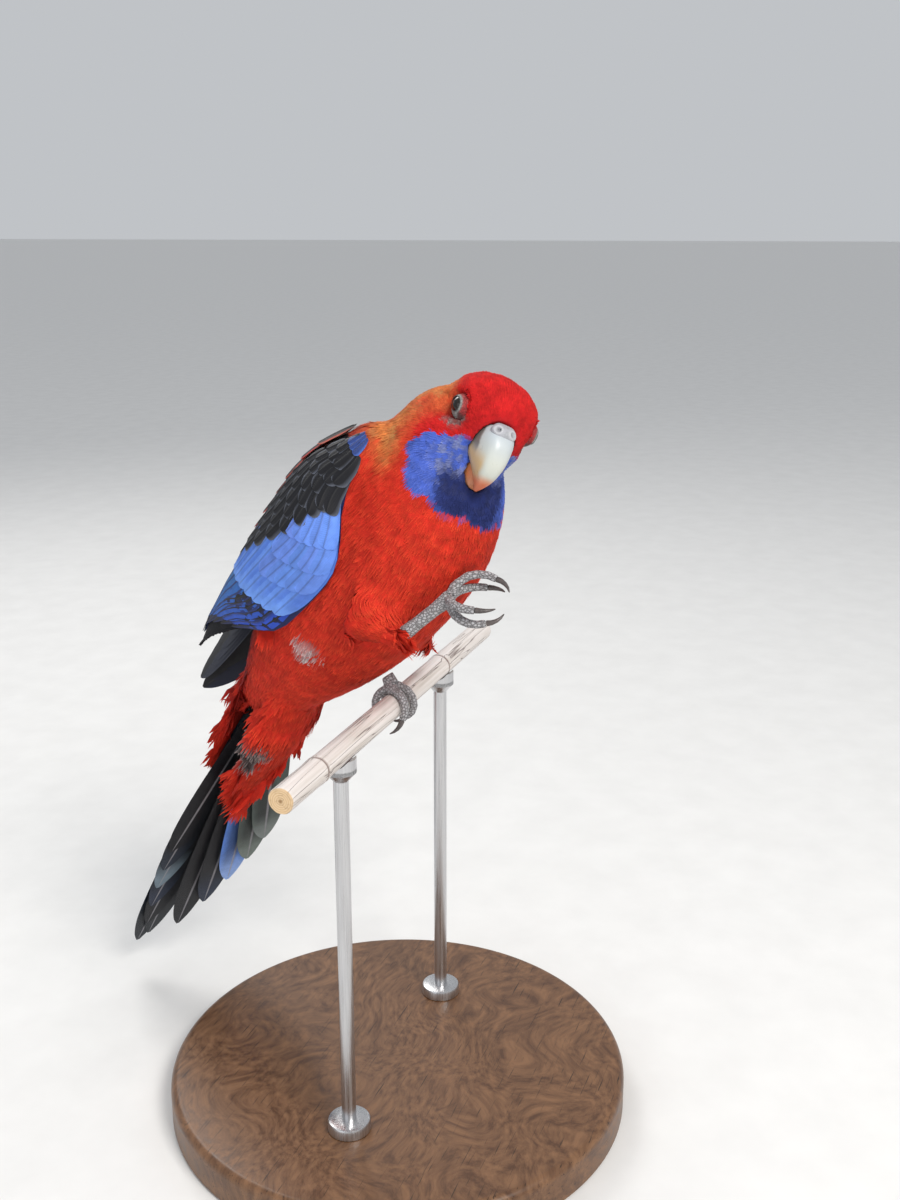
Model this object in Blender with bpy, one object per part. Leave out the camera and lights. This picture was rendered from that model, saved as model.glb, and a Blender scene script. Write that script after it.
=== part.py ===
"""Crimson rosella, life size, as a still display model.

The bird stands on its left foot on a short cut cane, its right foot raised and half closed,
its face turned to its right and tilted. Two short rods carry the cane on a round base.
The cane lies along X, the bird faces -Y, and the origin is the centre of the base's underside.
"""

import math

import bmesh
import bpy
from mathutils import Matrix, Vector

MM = 0.001
GAP = 0.3                      # clearance between neighbouring pieces, mm

# Stand and cane, mm
BASE_RADIUS = 85.0
BASE_THICKNESS = 14.0
BASE_EDGE = 3.0
CANE_RADIUS = 4.3
CANE_NEAR_END = -86.0
CANE_FAR_END = 94.0
CANE_TOP = 160.0
CANE_NODES = (-62.0, 44.0)
CANE_SIDES = 14
ROD_RADIUS = 2.5
ROD_OFFSET = 45.0
CUP_RADIUS = 5.2
CUP_HEIGHT = 7.0
COLLAR_RADIUS = 7.5
COLLAR_HEIGHT = 4.0

# Where the bird's parts stand, mm above and around the point where the left foot grips,
# with heading, nose-down pitch and roll in degrees
TRUNK_AT = (-0.1, 4.9, 50.3)
TRUNK_TURN = (-103.3, -50.7, -11.5)
HEAD_AT = (-7.1, -37.1, 96.5)
HEAD_TURN = (-152.1, 19.2, -25.6)

# Trunk: place along its axis, half width, back line and belly line, mm
TRUNK_STATIONS = (
    (-88, 7.0, 9.0, -6.0), (-78, 12.5, 14.0, -12.0), (-62, 18.5, 20.0, -19.5),
    (-44, 24.0, 24.0, -26.5), (-22, 27.4, 26.4, -32.5), (0, 28.7, 27.8, -35.0),
    (18, 28.4, 27.6, -34.5), (32, 26.2, 25.8, -31.0), (44, 21.5, 23.5, -25.5),
    (54, 16.0, 22.0, -13.0), (61, 10.5, 18.0, -6.0), (65, 5.5, 13.0, -1.0),
)
TRUNK_END = 30.0               # trunk gives way to neck here
NECK_PLANE_AT = (-6.0, 0.0, -15.5)   # head frame: the cut under chin and nape
NECK_PLANE_NORMAL = (0.42, 0.0, 0.91)

# Head, in a frame between the eyes that looks along +X: place, half width, crown and chin lines
HEAD_STATIONS = (
    (-21.5, 3.5, 3.0, -6.0), (-19.5, 8.5, 7.5, -13.0), (-15, 13.0, 11.6, -17.5),
    (-8, 15.8, 14.4, -20.5), (-1, 15.9, 15.2, -21.0), (5, 13.2, 13.6, -19.5),
    (9.5, 8.8, 9.8, -16.5), (12, 5.6, 6.2, -12.5), (13.3, 3.2, 3.0, -8.5),
)
HEAD_EGG = 0.2                 # the crown is this much broader than the mean, the chin narrower
EYE_RADIUS = 4.0
EYE_AT = (1.2, 11.4, 2.6)
EYE_HOLLOW_AT = (4.5, 18.0, -0.5)
EYE_HOLLOW_SIZE = (9.5, 6.8, 6.2)

# Upper bill, side view: ridge point, cutting-edge point, half width
BILL_SECTIONS = (
    ((10.0, 4.6), (4.5, -5.2), 6.4), ((14.6, 4.2), (7.8, -6.6), 6.3),
    ((18.2, 1.8), (10.8, -7.8), 5.5), ((20.4, -2.0), (12.6, -8.8), 4.8),
    ((21.1, -6.2), (13.6, -9.8), 4.0), ((20.4, -10.0), (14.6, -11.0), 3.1),
    ((18.8, -13.2), (15.4, -12.5), 2.0), ((17.0, -15.6), (15.9, -14.6), 0.9),
)
# Lower bill: place, half width, bottom line; its top follows the upper bill's cutting edge
LOWER_BILL_SECTIONS = (
    (2.5, 4.4, -14.4), (6.0, 4.8, -16.2), (9.5, 4.6, -17.2), (12.5, 3.8, -17.4),
    (14.6, 2.4, -16.4),
)
CERE_AT = (12.7, 0.0, 4.0)
CERE_SIZE = (3.0, 4.7, 2.0)

# Wings, in the trunk's frame: wrist and tip; the left wing is mirrored
RIGHT_WRIST = (40.0, -30.0, 8.0)
RIGHT_TIP = (-114.0, 1.0, 37.0)
LEFT_WRIST = (40.0, 30.0, 8.0)
LEFT_TIP = (-114.0, 9.0, 33.0)
WING_OUTWARD_RISE = 24.0       # the outer face looks this many degrees above level
WING_EDGE = 1.0                # thickness at the wing's edges
# Wing wrapped round the trunk: place along the trunk, height of the wrap's centre, its radius,
# lower and back edge in degrees above level, greatest thickness
WING_STATIONS = (
    (43, 0.0, 23.0, 37, 51, 2.0), (40, 0.0, 24.6, 29, 58, 3.2), (33, 0.0, 27.0, 16, 66, 4.8),
    (22, 0.0, 28.8, 9, 71, 7.6), (12, 0.0, 29.4, -6, 73, 9.4), (0, 0.0, 29.6, -14, 75, 9.6),
    (-22, 1.2, 29.0, -14, 75, 9.0), (-34, 2.2, 28.5, -12, 74, 8.0), (-44, 3.4, 28.0, 2, 72, 7.0),
    (-56, 5.4, 27.0, 14, 70, 5.4), (-72, 8.6, 25.0, 30, 67, 3.6), (-86, 11.5, 22.5, 46, 64, 1.8),
)
PRIMARY_ROOT = 62.0
PRIMARY_LENGTHS = (162.0, 156.0, 148.0, 138.0, 127.0)
PRIMARY_WIDTH = 12.0
PRIMARY_THICKNESS = 0.8
PRIMARY_ROOT_HEIGHT = -7.0     # the longest primary starts this far below the wing's axis
PRIMARY_STEP = 2.2             # each shorter one starts this much nearer the back edge
PRIMARY_TIP_STEP = 0.6
PRIMARY_DEPTH = 3.2
PRIMARY_LAYER = 0.45
PRIMARY_LEAN = 0.3              # each shorter one leans this much more toward the body, degrees

# Tail, hinged on the trunk: root, side swing and droop in degrees, then its graduated feathers
TAIL_ROOT = (-70.0, 0.0, 6.0)
TAIL_SWING = -3.3
TAIL_DROOP = -6.9
TAIL_START = 6.0
CENTRE_LENGTHS = (172.0, 168.0)
SIDE_LENGTHS = (156.0, 142.0, 128.0, 115.0, 102.0)
RIGHT_SPREAD = 7.0             # degrees from the middle to the outermost feather
LEFT_SPREAD = 17.0
TAIL_FEATHER_WIDTH = 19.0
TAIL_LAYER = 0.4
TAIL_THICKNESS = 0.7
LEFT_ROOF = 3.0                # the left side's outermost feather leans down by this, degrees
BLADE_ARCH = 0.04              # height of a long feather's arch to its half width

# Legs, from the point where the left foot grips
LEFT_PALM = (0.0, 1.0, 2.9)
LEFT_ANKLE = (3.0, 9.0, 15.0)
LEFT_THIGH_TOP = (12.0, -7.0, 23.0)
RIGHT_PALM = (-25.0, -30.0, 44.0)
RIGHT_ANKLE = (-29.5, -14.7, 30.7)
RIGHT_THIGH_TOP = (-27.0, 1.5, 37.0)
RIGHT_GRASP = (0.20, -0.98, 0.0)       # from the right palm to the middle of its grasp
RIGHT_FRONT_SIDE = (0.81, 0.30, 0.48)  # the side on which its two front toes close
GRASP_RADIUS = 9.0
THIGH_TOP_RADIUS = 11.0
THIGH_END_RADIUS = 3.6
TARSUS_RADIUS = 2.1
TOE_RADIUS = 1.7
TOE_TIP_RADIUS = 1.2
CLAW_LENGTH = 6.5
CLAW_CURL = 15.0               # degrees at each of a claw's joints
CLAW_RADII = (1.0, 0.85, 0.65, 0.42, 0.15)
# for each toe: sideways start and drift on the cane, front or back, sweep in degrees
CANE_TOES = ((-1.8, -4.7, 1, 118), (1.6, 1.8, 1, 150), (-1.2, -1.6, -1, 100), (1.8, 5.4, -1, 136))
# for each raised toe: fan from the side it closes on, front or back, sweep in degrees
RAISED_TOES = ((-20, 1, 96), (16, 1, 118), (-22, -1, 84), (18, -1, 104))


def clear_scene():
    """Empties the file of objects."""
    for item in list(bpy.data.objects):
        bpy.data.objects.remove(item, do_unlink=True)


def make_material(name, colour, roughness, metallic=0.0):
    """A plain Principled material."""
    material = bpy.data.materials.new(name)
    material.use_nodes = True
    shader = material.node_tree.nodes["Principled BSDF"]
    shader.inputs["Base Color"].default_value = (*colour, 1.0)
    shader.inputs["Roughness"].default_value = roughness
    shader.inputs["Metallic"].default_value = metallic
    return material


def turn_matrix(location, turn):
    """Frame at a place in mm, turned by heading, nose-down pitch and roll in degrees."""
    heading, pitch, roll = (math.radians(angle) for angle in turn)
    rotation = (Matrix.Rotation(heading, 4, "Z") @ Matrix.Rotation(pitch, 4, "Y")
                @ Matrix.Rotation(roll, 4, "X"))
    return Matrix.Translation(Vector(location) * MM) @ rotation


def axes_matrix(location, x_axis, z_hint):
    """Frame at a place in mm whose X is x_axis and whose Z is as near z_hint as can be."""
    x_axis = Vector(x_axis).normalized()
    y_axis = Vector(z_hint).cross(x_axis).normalized()
    z_axis = x_axis.cross(y_axis)
    rotation = Matrix((x_axis, y_axis, z_axis)).transposed().to_4x4()
    return Matrix.Translation(Vector(location) * MM) @ rotation


def make_frame(name, matrix, parent=None):
    """An empty that carries the pieces modelled in its axes."""
    empty = bpy.data.objects.new(name, None)
    bpy.context.collection.objects.link(empty)
    empty.parent = parent
    empty.matrix_local = matrix
    return empty


def finish_object(name, mesh_maker, material, frame=None, smooth_angle=50.0):
    """Turns a bmesh into a named, shaded object in its frame, with faces pointing out."""
    bmesh.ops.recalc_face_normals(mesh_maker, faces=mesh_maker.faces)
    if mesh_maker.calc_volume(signed=True) < 0:
        bmesh.ops.reverse_faces(mesh_maker, faces=mesh_maker.faces)
    mesh = bpy.data.meshes.new(name)
    mesh_maker.to_mesh(mesh)
    mesh_maker.free()
    mesh.shade_smooth()
    mesh.set_sharp_from_angle(angle=math.radians(smooth_angle))
    mesh.materials.append(material)
    item = bpy.data.objects.new(name, mesh)
    bpy.context.collection.objects.link(item)
    item.parent = frame
    return item


def loft(name, rings, material, frame=None):
    """A closed solid through rings of points in mm, capped at both ends."""
    maker = bmesh.new()
    loops = [[maker.verts.new(Vector(point) * MM) for point in ring] for ring in rings]
    for first, second in zip(loops, loops[1:]):
        count = len(first)
        for i in range(count):
            j = (i + 1) % count
            maker.faces.new((first[i], first[j], second[j], second[i]))
    maker.faces.new(list(reversed(loops[0])))
    maker.faces.new(loops[-1])
    return finish_object(name, maker, material, frame)


def spline(stations, steps):
    """Catmull-Rom values between stations (tuples of numbers), steps to each gap."""
    rows = [stations[0]] + list(stations) + [stations[-1]]
    result = []
    for k in range(1, len(rows) - 2):
        before, start, end, after = rows[k - 1], rows[k], rows[k + 1], rows[k + 2]
        for i in range(steps):
            t = i / steps
            result.append(tuple(
                0.5 * (2 * b + (c - a) * t + (2 * a - 5 * b + 4 * c - d) * t * t
                       + (3 * b - a - 3 * c + d) * t ** 3)
                for a, b, c, d in zip(before, start, end, after)))
    result.append(tuple(stations[-1]))
    return result


def body_ring(x, half_width, top, bottom, count, squareness=1.0, egg=0.0):
    """Oval ring across X, or an egg that is broader above than below."""
    middle = 0.5 * (top + bottom)
    height = 0.5 * (top - bottom)
    ring = []
    for i in range(count):
        angle = 2 * math.pi * i / count
        side, rise = math.cos(angle), math.sin(angle)
        side = math.copysign(abs(side) ** squareness, side)
        rise = math.copysign(abs(rise) ** squareness, rise)
        ring.append((x, half_width * side * (1 + egg * rise), middle + height * rise))
    return ring


def hide_tool(item):
    """Marks a cutter or a joined half as a tool and not a piece."""
    item.hide_render = True
    item.display_type = "WIRE"
    return item


def grown_copy(item, grow):
    """A wire cutter: the piece swollen by a clearance in mm."""
    copy = bpy.data.objects.new(item.name + "_clearance", item.data)
    bpy.context.collection.objects.link(copy)
    copy.parent = item.parent
    for source in item.modifiers:
        twin = copy.modifiers.new(source.name, source.type)
        twin.operation = source.operation
        twin.solver = source.solver
        twin.object = source.object
    if grow:
        swell = copy.modifiers.new("clearance", "DISPLACE")
        swell.mid_level = 0.0
        swell.strength = grow * MM
    return hide_tool(copy)


def boolean(item, tool, operation):
    """Adds an exact Boolean of item with tool."""
    modifier = item.modifiers.new(operation.lower() + "_" + tool.name, "BOOLEAN")
    modifier.operation = operation
    modifier.solver = "EXACT"
    modifier.object = tool


def slab(name, frame, centre, x_axis, reach_back, reach_front):
    """A wide box across x_axis, from reach_back to reach_front of its centre, as a tool."""
    maker = bmesh.new()
    bmesh.ops.create_cube(maker, size=1.0)
    size = Vector((reach_front - reach_back, 300.0, 300.0)) * MM
    bmesh.ops.scale(maker, vec=size, verts=maker.verts)
    shift = Vector((0.5 * (reach_front + reach_back) * MM, 0, 0))
    bmesh.ops.translate(maker, vec=shift, verts=maker.verts)
    hint = (0, 1, 0) if abs(Vector(x_axis).normalized().y) < 0.9 else (0, 0, 1)
    maker.transform(axes_matrix(centre, x_axis, hint))
    return hide_tool(finish_object(name, maker, bpy.data.materials["tool"], frame))


def tube(name, points, radii, material, frame=None, sides=8, flatten=1.0):
    """A closed tube along points in mm, with its own radius at each point."""
    points = [Vector(point) for point in points]
    rings = []
    side = None
    for k, point in enumerate(points):
        ahead = points[min(k + 1, len(points) - 1)] - points[max(k - 1, 0)]
        ahead.normalize()
        if side is None:
            side = ahead.orthogonal().normalized()
        side = (side - ahead * side.dot(ahead)).normalized()
        up = ahead.cross(side)
        ring = []
        for i in range(sides):
            angle = 2 * math.pi * i / sides
            offset = side * math.cos(angle) + up * (flatten * math.sin(angle))
            ring.append(point + offset * radii[k])
        rings.append(ring)
    return loft(name, rings, material, frame)


def blade(name, root, length, width, thickness, angle, height, droop, material, frame):
    """One long feather in the XY plane: pointed, slightly arched, swung by angle in degrees."""
    stations = ((0.0, 0.35), (0.15, 0.66), (0.4, 0.92), (0.65, 1.0), (0.85, 0.86), (0.95, 0.5),
                (1.0, 0.08))
    swing = Matrix.Rotation(math.radians(angle), 3, "Z")
    swing = swing @ Matrix.Rotation(math.radians(droop), 3, "Y")
    rings = []
    for place, share in stations:
        half = 0.5 * width * share
        arch = BLADE_ARCH * half
        x = place * length
        ring = [(x, -half, -arch), (x, 0.0, 0.0), (x, half, -arch)]
        under = [(px, py * 0.98, pz - thickness) for px, py, pz in reversed(ring)]
        rings.append([swing @ Vector(point) + Vector((root, 0, height))
                      for point in ring + under])
    return loft(name, rings, material, frame)


def join_blades(name, blades, cutters):
    """One solid out of overlapping blades, cleared of its neighbours."""
    first = blades[0]
    first.name = name
    for other in blades[1:]:
        hide_tool(other)
        boolean(first, other, "UNION")
    for cutter in cutters:
        boolean(first, cutter, "DIFFERENCE")
    return first


def eye_hollow(side, head_frame, paint):
    """Cutter for the dip round an eye, which runs down to the lores."""
    maker = bmesh.new()
    bmesh.ops.create_uvsphere(maker, u_segments=12, v_segments=6, radius=1.0)
    bmesh.ops.scale(maker, vec=Vector(EYE_HOLLOW_SIZE) * MM, verts=maker.verts)
    x, away, z = EYE_HOLLOW_AT
    bmesh.ops.translate(maker, vec=Vector((x, side * away, z)) * MM, verts=maker.verts)
    return hide_tool(finish_object("eye_hollow", maker, paint["red"], head_frame))


def build_body(trunk_frame, head_frame, paint):
    """Trunk, neck and head: modelled whole, then parted by thin cuts."""
    trunk_rings = [body_ring(*row, 18, 0.94) for row in spline(TRUNK_STATIONS, 2)]
    head_rings = [body_ring(*row, 16, 0.96, HEAD_EGG) for row in spline(HEAD_STATIONS, 2)]
    head_place = (trunk_frame.matrix_world.inverted() @ head_frame.matrix_world)

    trunk = loft("trunk", trunk_rings, paint["red"], trunk_frame)
    skull = loft("head", head_rings, paint["red"], head_frame)
    skull_tool = hide_tool(loft("skull_shape", head_rings, paint["red"], head_frame))
    trunk_tool = hide_tool(loft("trunk_shape", trunk_rings, paint["red"], trunk_frame))
    neck = loft("neck", trunk_rings, paint["red"], trunk_frame)

    plane_at = head_place @ (Vector(NECK_PLANE_AT) * MM) / MM
    plane_normal = (head_place.to_3x3() @ Vector(NECK_PLANE_NORMAL)).normalized()
    above = slab("above_neck", trunk_frame, plane_at, plane_normal, -GAP / 2, 200)
    below_head = slab("below_head", trunk_frame, plane_at, plane_normal, -200, GAP / 2)
    ahead = slab("ahead_of_trunk", trunk_frame, (TRUNK_END, 0, 0), (1, 0, 0), -GAP / 2, 150)
    behind = slab("behind_neck", trunk_frame, (TRUNK_END, 0, 0), (1, 0, 0), -150, GAP / 2)

    boolean(trunk, ahead, "DIFFERENCE")
    boolean(neck, skull_tool, "UNION")
    boolean(neck, above, "DIFFERENCE")
    boolean(neck, behind, "DIFFERENCE")
    for side in (-1, 1):
        boolean(skull, eye_hollow(side, head_frame, paint), "DIFFERENCE")
    boolean(skull, trunk_tool, "UNION")
    boolean(skull, below_head, "DIFFERENCE")
    return trunk, neck, skull


def build_bill(head_frame, head, paint):
    """Upper and lower bill and the cere, let into the head."""
    upper_rings = []
    for ridge_x, ridge_z, edge_x, edge_z, half in spline(
            [(*ridge, *edge, half) for ridge, edge, half in BILL_SECTIONS], 2):
        ridge = Vector((ridge_x, 0, ridge_z))
        edge = Vector((edge_x, 0, edge_z))
        ring = []
        for i in range(10):
            angle = math.pi * i / 9.0
            rise = math.sin(angle) ** 0.85
            side = math.cos(angle)
            middle = edge.lerp(ridge, rise)
            ring.append(middle + Vector((0, half * math.copysign(abs(side) ** 0.62, side), 0)))
        upper_rings.append(ring)
    upper = loft("bill_upper", upper_rings, paint["bill"], head_frame)

    edge_line = [edge for _, edge, _ in BILL_SECTIONS]
    lower_rings = []
    for x, half, bottom in spline(LOWER_BILL_SECTIONS, 2):
        top = edge_height(edge_line, x) - GAP - 0.1
        lower_rings.append(body_ring(x, half, top, min(bottom, top - 1.0), 12, 0.8))
    lower = loft("bill_lower", lower_rings, paint["bill"], head_frame)

    maker = bmesh.new()
    bmesh.ops.create_uvsphere(maker, u_segments=10, v_segments=6, radius=1.0)
    bmesh.ops.scale(maker, vec=Vector(CERE_SIZE) * MM, verts=maker.verts)
    maker.transform(Matrix.Translation(Vector(CERE_AT) * MM)
                    @ Matrix.Rotation(math.radians(24), 4, "Y"))
    cere = finish_object("cere", maker, paint["cere"], head_frame)

    upper_clear = grown_copy(upper, GAP)
    lower_clear = grown_copy(lower, GAP)
    cere_clear = grown_copy(cere, GAP)
    boolean(head, upper_clear, "DIFFERENCE")
    boolean(head, lower_clear, "DIFFERENCE")
    boolean(head, cere_clear, "DIFFERENCE")
    boolean(lower, upper_clear, "DIFFERENCE")
    boolean(upper, cere_clear, "DIFFERENCE")
    return upper_clear, lower_clear


def edge_height(edge_line, x):
    """Height of the upper bill's cutting edge above x."""
    if x <= edge_line[0][0]:
        return edge_line[0][1]
    for (x0, z0), (x1, z1) in zip(edge_line, edge_line[1:]):
        if x <= x1:
            return z0 + (z1 - z0) * (x - x0) / (x1 - x0)
    return edge_line[-1][1]


def build_eyes(head_frame, head, paint):
    """Eyeballs, sunk in their hollows."""
    for name, side in (("eye_right", -1), ("eye_left", 1)):
        maker = bmesh.new()
        bmesh.ops.create_uvsphere(maker, u_segments=12, v_segments=7, radius=EYE_RADIUS * MM)
        place = Vector((EYE_AT[0], side * EYE_AT[1], EYE_AT[2])) * MM
        bmesh.ops.translate(maker, vec=place, verts=maker.verts)
        eye = finish_object(name, maker, paint["eye"], head_frame)
        boolean(head, grown_copy(eye, GAP), "DIFFERENCE")


def wing_matrix(wrist, tip, side):
    """Wing axes: X to the tip, Z to the back edge, Y out on the right wing and in on the left."""
    along = Vector(tip) - Vector(wrist)
    rise = math.radians(WING_OUTWARD_RISE)
    outward = Vector((0, side * math.cos(rise), math.sin(rise)))
    back_edge = along.cross(outward) * -side
    return axes_matrix(wrist, along, back_edge)


def build_wing(name, wrist, tip, side, trunk_frame, trunk_clear, paint):
    """Folded wing: a shield of coverts wrapped round the flank, and the primaries behind it."""
    rings = [wing_ring(*row, side) for row in spline(WING_STATIONS, 2)]
    wing = loft(name, rings, paint["wing"], trunk_frame)
    wing_clear = grown_copy(wing, GAP)
    boolean(wing, trunk_clear, "DIFFERENCE")

    frame = make_frame(name + "_frame", wing_matrix(wrist, tip, side), trunk_frame)
    outward = -side
    blades = []
    lean = Matrix.Rotation(math.radians(90), 4, "X")
    for k, length in enumerate(PRIMARY_LENGTHS):
        root_height = PRIMARY_ROOT_HEIGHT + PRIMARY_STEP * k
        reach = length - PRIMARY_ROOT
        swing = math.degrees(math.atan2(PRIMARY_TIP_STEP * k - root_height, reach))
        feather = blade(f"{name}_primary_{k + 1}", 0.0, reach, PRIMARY_WIDTH,
                        PRIMARY_THICKNESS, swing, 0.0, -outward * PRIMARY_LEAN * (k + 1),
                        paint["flight"], frame)
        depth = outward * (PRIMARY_LAYER * k - PRIMARY_DEPTH)
        shift = Vector((PRIMARY_ROOT, depth, root_height)) * MM
        feather.data.transform(Matrix.Translation(shift) @ lean)
        blades.append(feather)
    join_blades(name.replace("wing", "primaries"), blades, [wing_clear, trunk_clear])


def wing_ring(x, centre_z, radius, low, high, thickness, side):
    """Cross-section of a wing: a band bent round the trunk, thickest above its middle."""
    count = 6
    outer, inner = [], []
    for i in range(count):
        share = i / (count - 1)
        angle = math.radians(low + (high - low) * share)
        body = math.sin(math.pi * (0.8 * share) ** 0.9) ** 0.8
        reach = radius + GAP + WING_EDGE + (thickness - WING_EDGE) * body
        outer.append((x, side * reach * math.cos(angle), centre_z + reach * math.sin(angle)))
        inner.append((x, side * radius * math.cos(angle), centre_z + radius * math.sin(angle)))
    return outer + list(reversed(inner))


def build_tail(trunk_frame, trunk_clear, paint):
    """Long middle feathers over two graduated, half spread sides, between the tail coverts."""
    droop = math.radians(TAIL_DROOP)
    swing = math.radians(TAIL_SWING)
    back = Vector((-math.cos(droop), 0, math.sin(droop)))
    back.rotate(Matrix.Rotation(swing, 3, "Z"))
    frame = make_frame("tail_frame", axes_matrix(TAIL_ROOT, back, (0, 0, 1)), trunk_frame)

    middle = [blade(f"tail_middle_{k}", TAIL_START, length - TAIL_START, TAIL_FEATHER_WIDTH,
                    TAIL_THICKNESS, angle, -TAIL_LAYER * k, 0.0, paint["tail"], frame)
              for k, (length, angle) in enumerate(zip(CENTRE_LENGTHS, (0.7, -0.7)))]
    join_blades("tail_middle", middle, [trunk_clear])

    for name, sign, spread, height, roof in (("right", 1, RIGHT_SPREAD, -2.0, 0.0),
                                             ("left", -1, LEFT_SPREAD, -5.4, LEFT_ROOF)):
        side = []
        for k, length in enumerate(SIDE_LENGTHS):
            share = (k + 1) / len(SIDE_LENGTHS)
            width = TAIL_FEATHER_WIDTH * (1 - 0.12 * share)
            side.append(blade(f"tail_{name}_{k}", TAIL_START, length - TAIL_START, width,
                              TAIL_THICKNESS, sign * spread * share,
                              height - TAIL_LAYER * k, roof * share,
                              paint["tail_side"], frame))
        join_blades("tail_" + name, side, [trunk_clear])

    over = loft("tail_coverts_upper",
                [body_ring(x, half, 1.2 + rise, 1.2 - 0.2, 14)
                 for x, half, rise in spline(((-4, 9, 5.5), (8, 12, 5.0), (24, 11.5, 3.4),
                                              (40, 8, 2.0), (52, 2.5, 0.7)), 2)],
                paint["red"], frame)
    under = loft("tail_coverts_under",
                 [body_ring(x, half, top, top - deep, 14)
                  for x, half, top, deep in spline(((-4, 14, -9.5, 12), (10, 15, -10.2, 12.5),
                                                    (28, 13, -11.4, 9.5), (46, 9, -12.6, 5),
                                                    (60, 3, -13.8, 1.4)), 2)],
                 paint["red"], frame)
    for cover in (over, under):
        boolean(cover, trunk_clear, "DIFFERENCE")
    return frame


def toe_arc(centre, grasp, open_side, radius, start, sweep, drift=(0, 0, 0), count=7):
    """A toe's centreline: from the palm round the grasp's middle, with a sideways drift."""
    points = []
    for i in range(count):
        share = i / (count - 1)
        angle = math.radians(start + sweep * share)
        points.append(centre - grasp * (radius * math.cos(angle))
                      + open_side * (radius * math.sin(angle)) + Vector(drift) * share)
    return points


def claw_points(tip, heading, curl_axis, length, count=5):
    """A claw's centreline: it leaves the toe straight ahead and curls."""
    points = [Vector(tip)]
    direction = Vector(heading).normalized()
    for _ in range(count - 1):
        points.append(points[-1] + direction * (length / (count - 1)))
        direction.rotate(Matrix.Rotation(math.radians(CLAW_CURL), 3, curl_axis))
    return points


def build_foot(side, ankle, palm, toes, frame, paint):
    """Tarsus and four toes in one piece, and a claw at each toe's end."""
    ankle, palm = Vector(ankle), Vector(palm)
    shank = tube("foot_" + side, [ankle, ankle.lerp(palm, 0.35), ankle.lerp(palm, 0.7), palm],
                 [TARSUS_RADIUS + 0.5, TARSUS_RADIUS, TARSUS_RADIUS, TARSUS_RADIUS + 0.6],
                 paint["leg"], frame)
    for k, (points, curl_axis) in enumerate(toes):
        count = len(points)
        radii = [TOE_RADIUS + (TOE_TIP_RADIUS - TOE_RADIUS) * i / (count - 1)
                 for i in range(count)]
        toe = hide_tool(tube(f"toe_{side}_{k + 1}", points, radii, paint["leg"], frame, 6))
        boolean(shank, toe, "UNION")
        heading = (points[-1] - points[-2]).normalized()
        claw = claw_points(points[-1] + heading * GAP, heading, curl_axis, CLAW_LENGTH)
        tube(f"claw_{side}_{k + 1}", claw, CLAW_RADII, paint["claw"], frame, 6)
    return shank


def cane_toes():
    """Two toes over the front of the cane and two over its back."""
    radius = CANE_RADIUS + TOE_RADIUS + GAP
    toes = []
    for root, drift, front, sweep in CANE_TOES:
        grasp, open_side = Vector((0, 0, -1)), Vector((0, -front, 0))
        points = toe_arc(Vector((root, 0, -CANE_RADIUS)), grasp, open_side, radius, -14.0, sweep + 14,
                         (drift, 0, 0))
        toes.append((points, open_side.cross(grasp)))
    return toes


def raised_toes():
    """Four toes half closed round an empty grasp, two on each side."""
    grasp = Vector(RIGHT_GRASP).normalized()
    front = Vector(RIGHT_FRONT_SIDE)
    front = (front - grasp * front.dot(grasp)).normalized()
    centre = Vector(RIGHT_PALM) + grasp * GRASP_RADIUS
    toes = []
    for fan, side, sweep in RAISED_TOES:
        open_side = Matrix.Rotation(math.radians(fan), 3, grasp) @ (front * side)
        points = toe_arc(centre, grasp, open_side, GRASP_RADIUS, 6.0, sweep)
        toes.append((points, open_side.cross(grasp)))
    return toes


def build_legs(grip_frame, trunk_clear, paint):
    """Standing left leg and raised right leg."""
    left = build_foot("left", LEFT_ANKLE, LEFT_PALM, cane_toes(), grip_frame, paint)
    right = build_foot("right", RIGHT_ANKLE, RIGHT_PALM, raised_toes(), grip_frame, paint)
    for foot in (left, right):
        boolean(foot, trunk_clear, "DIFFERENCE")
    for side, foot, top, ankle in (("left", left, LEFT_THIGH_TOP, LEFT_ANKLE),
                                   ("right", right, RIGHT_THIGH_TOP, RIGHT_ANKLE)):
        top, ankle = Vector(top), Vector(ankle)
        places = [ankle.lerp(top, t) for t in (-0.12, 0.15, 0.6, 1.0)]
        thigh = tube("thigh_" + side, places,
                     [THIGH_END_RADIUS, THIGH_END_RADIUS + 2.0, THIGH_TOP_RADIUS - 2.0,
                      THIGH_TOP_RADIUS], paint["red"], grip_frame, 14)
        boolean(thigh, grown_copy(foot, GAP), "DIFFERENCE")
        boolean(thigh, trunk_clear, "DIFFERENCE")


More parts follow.
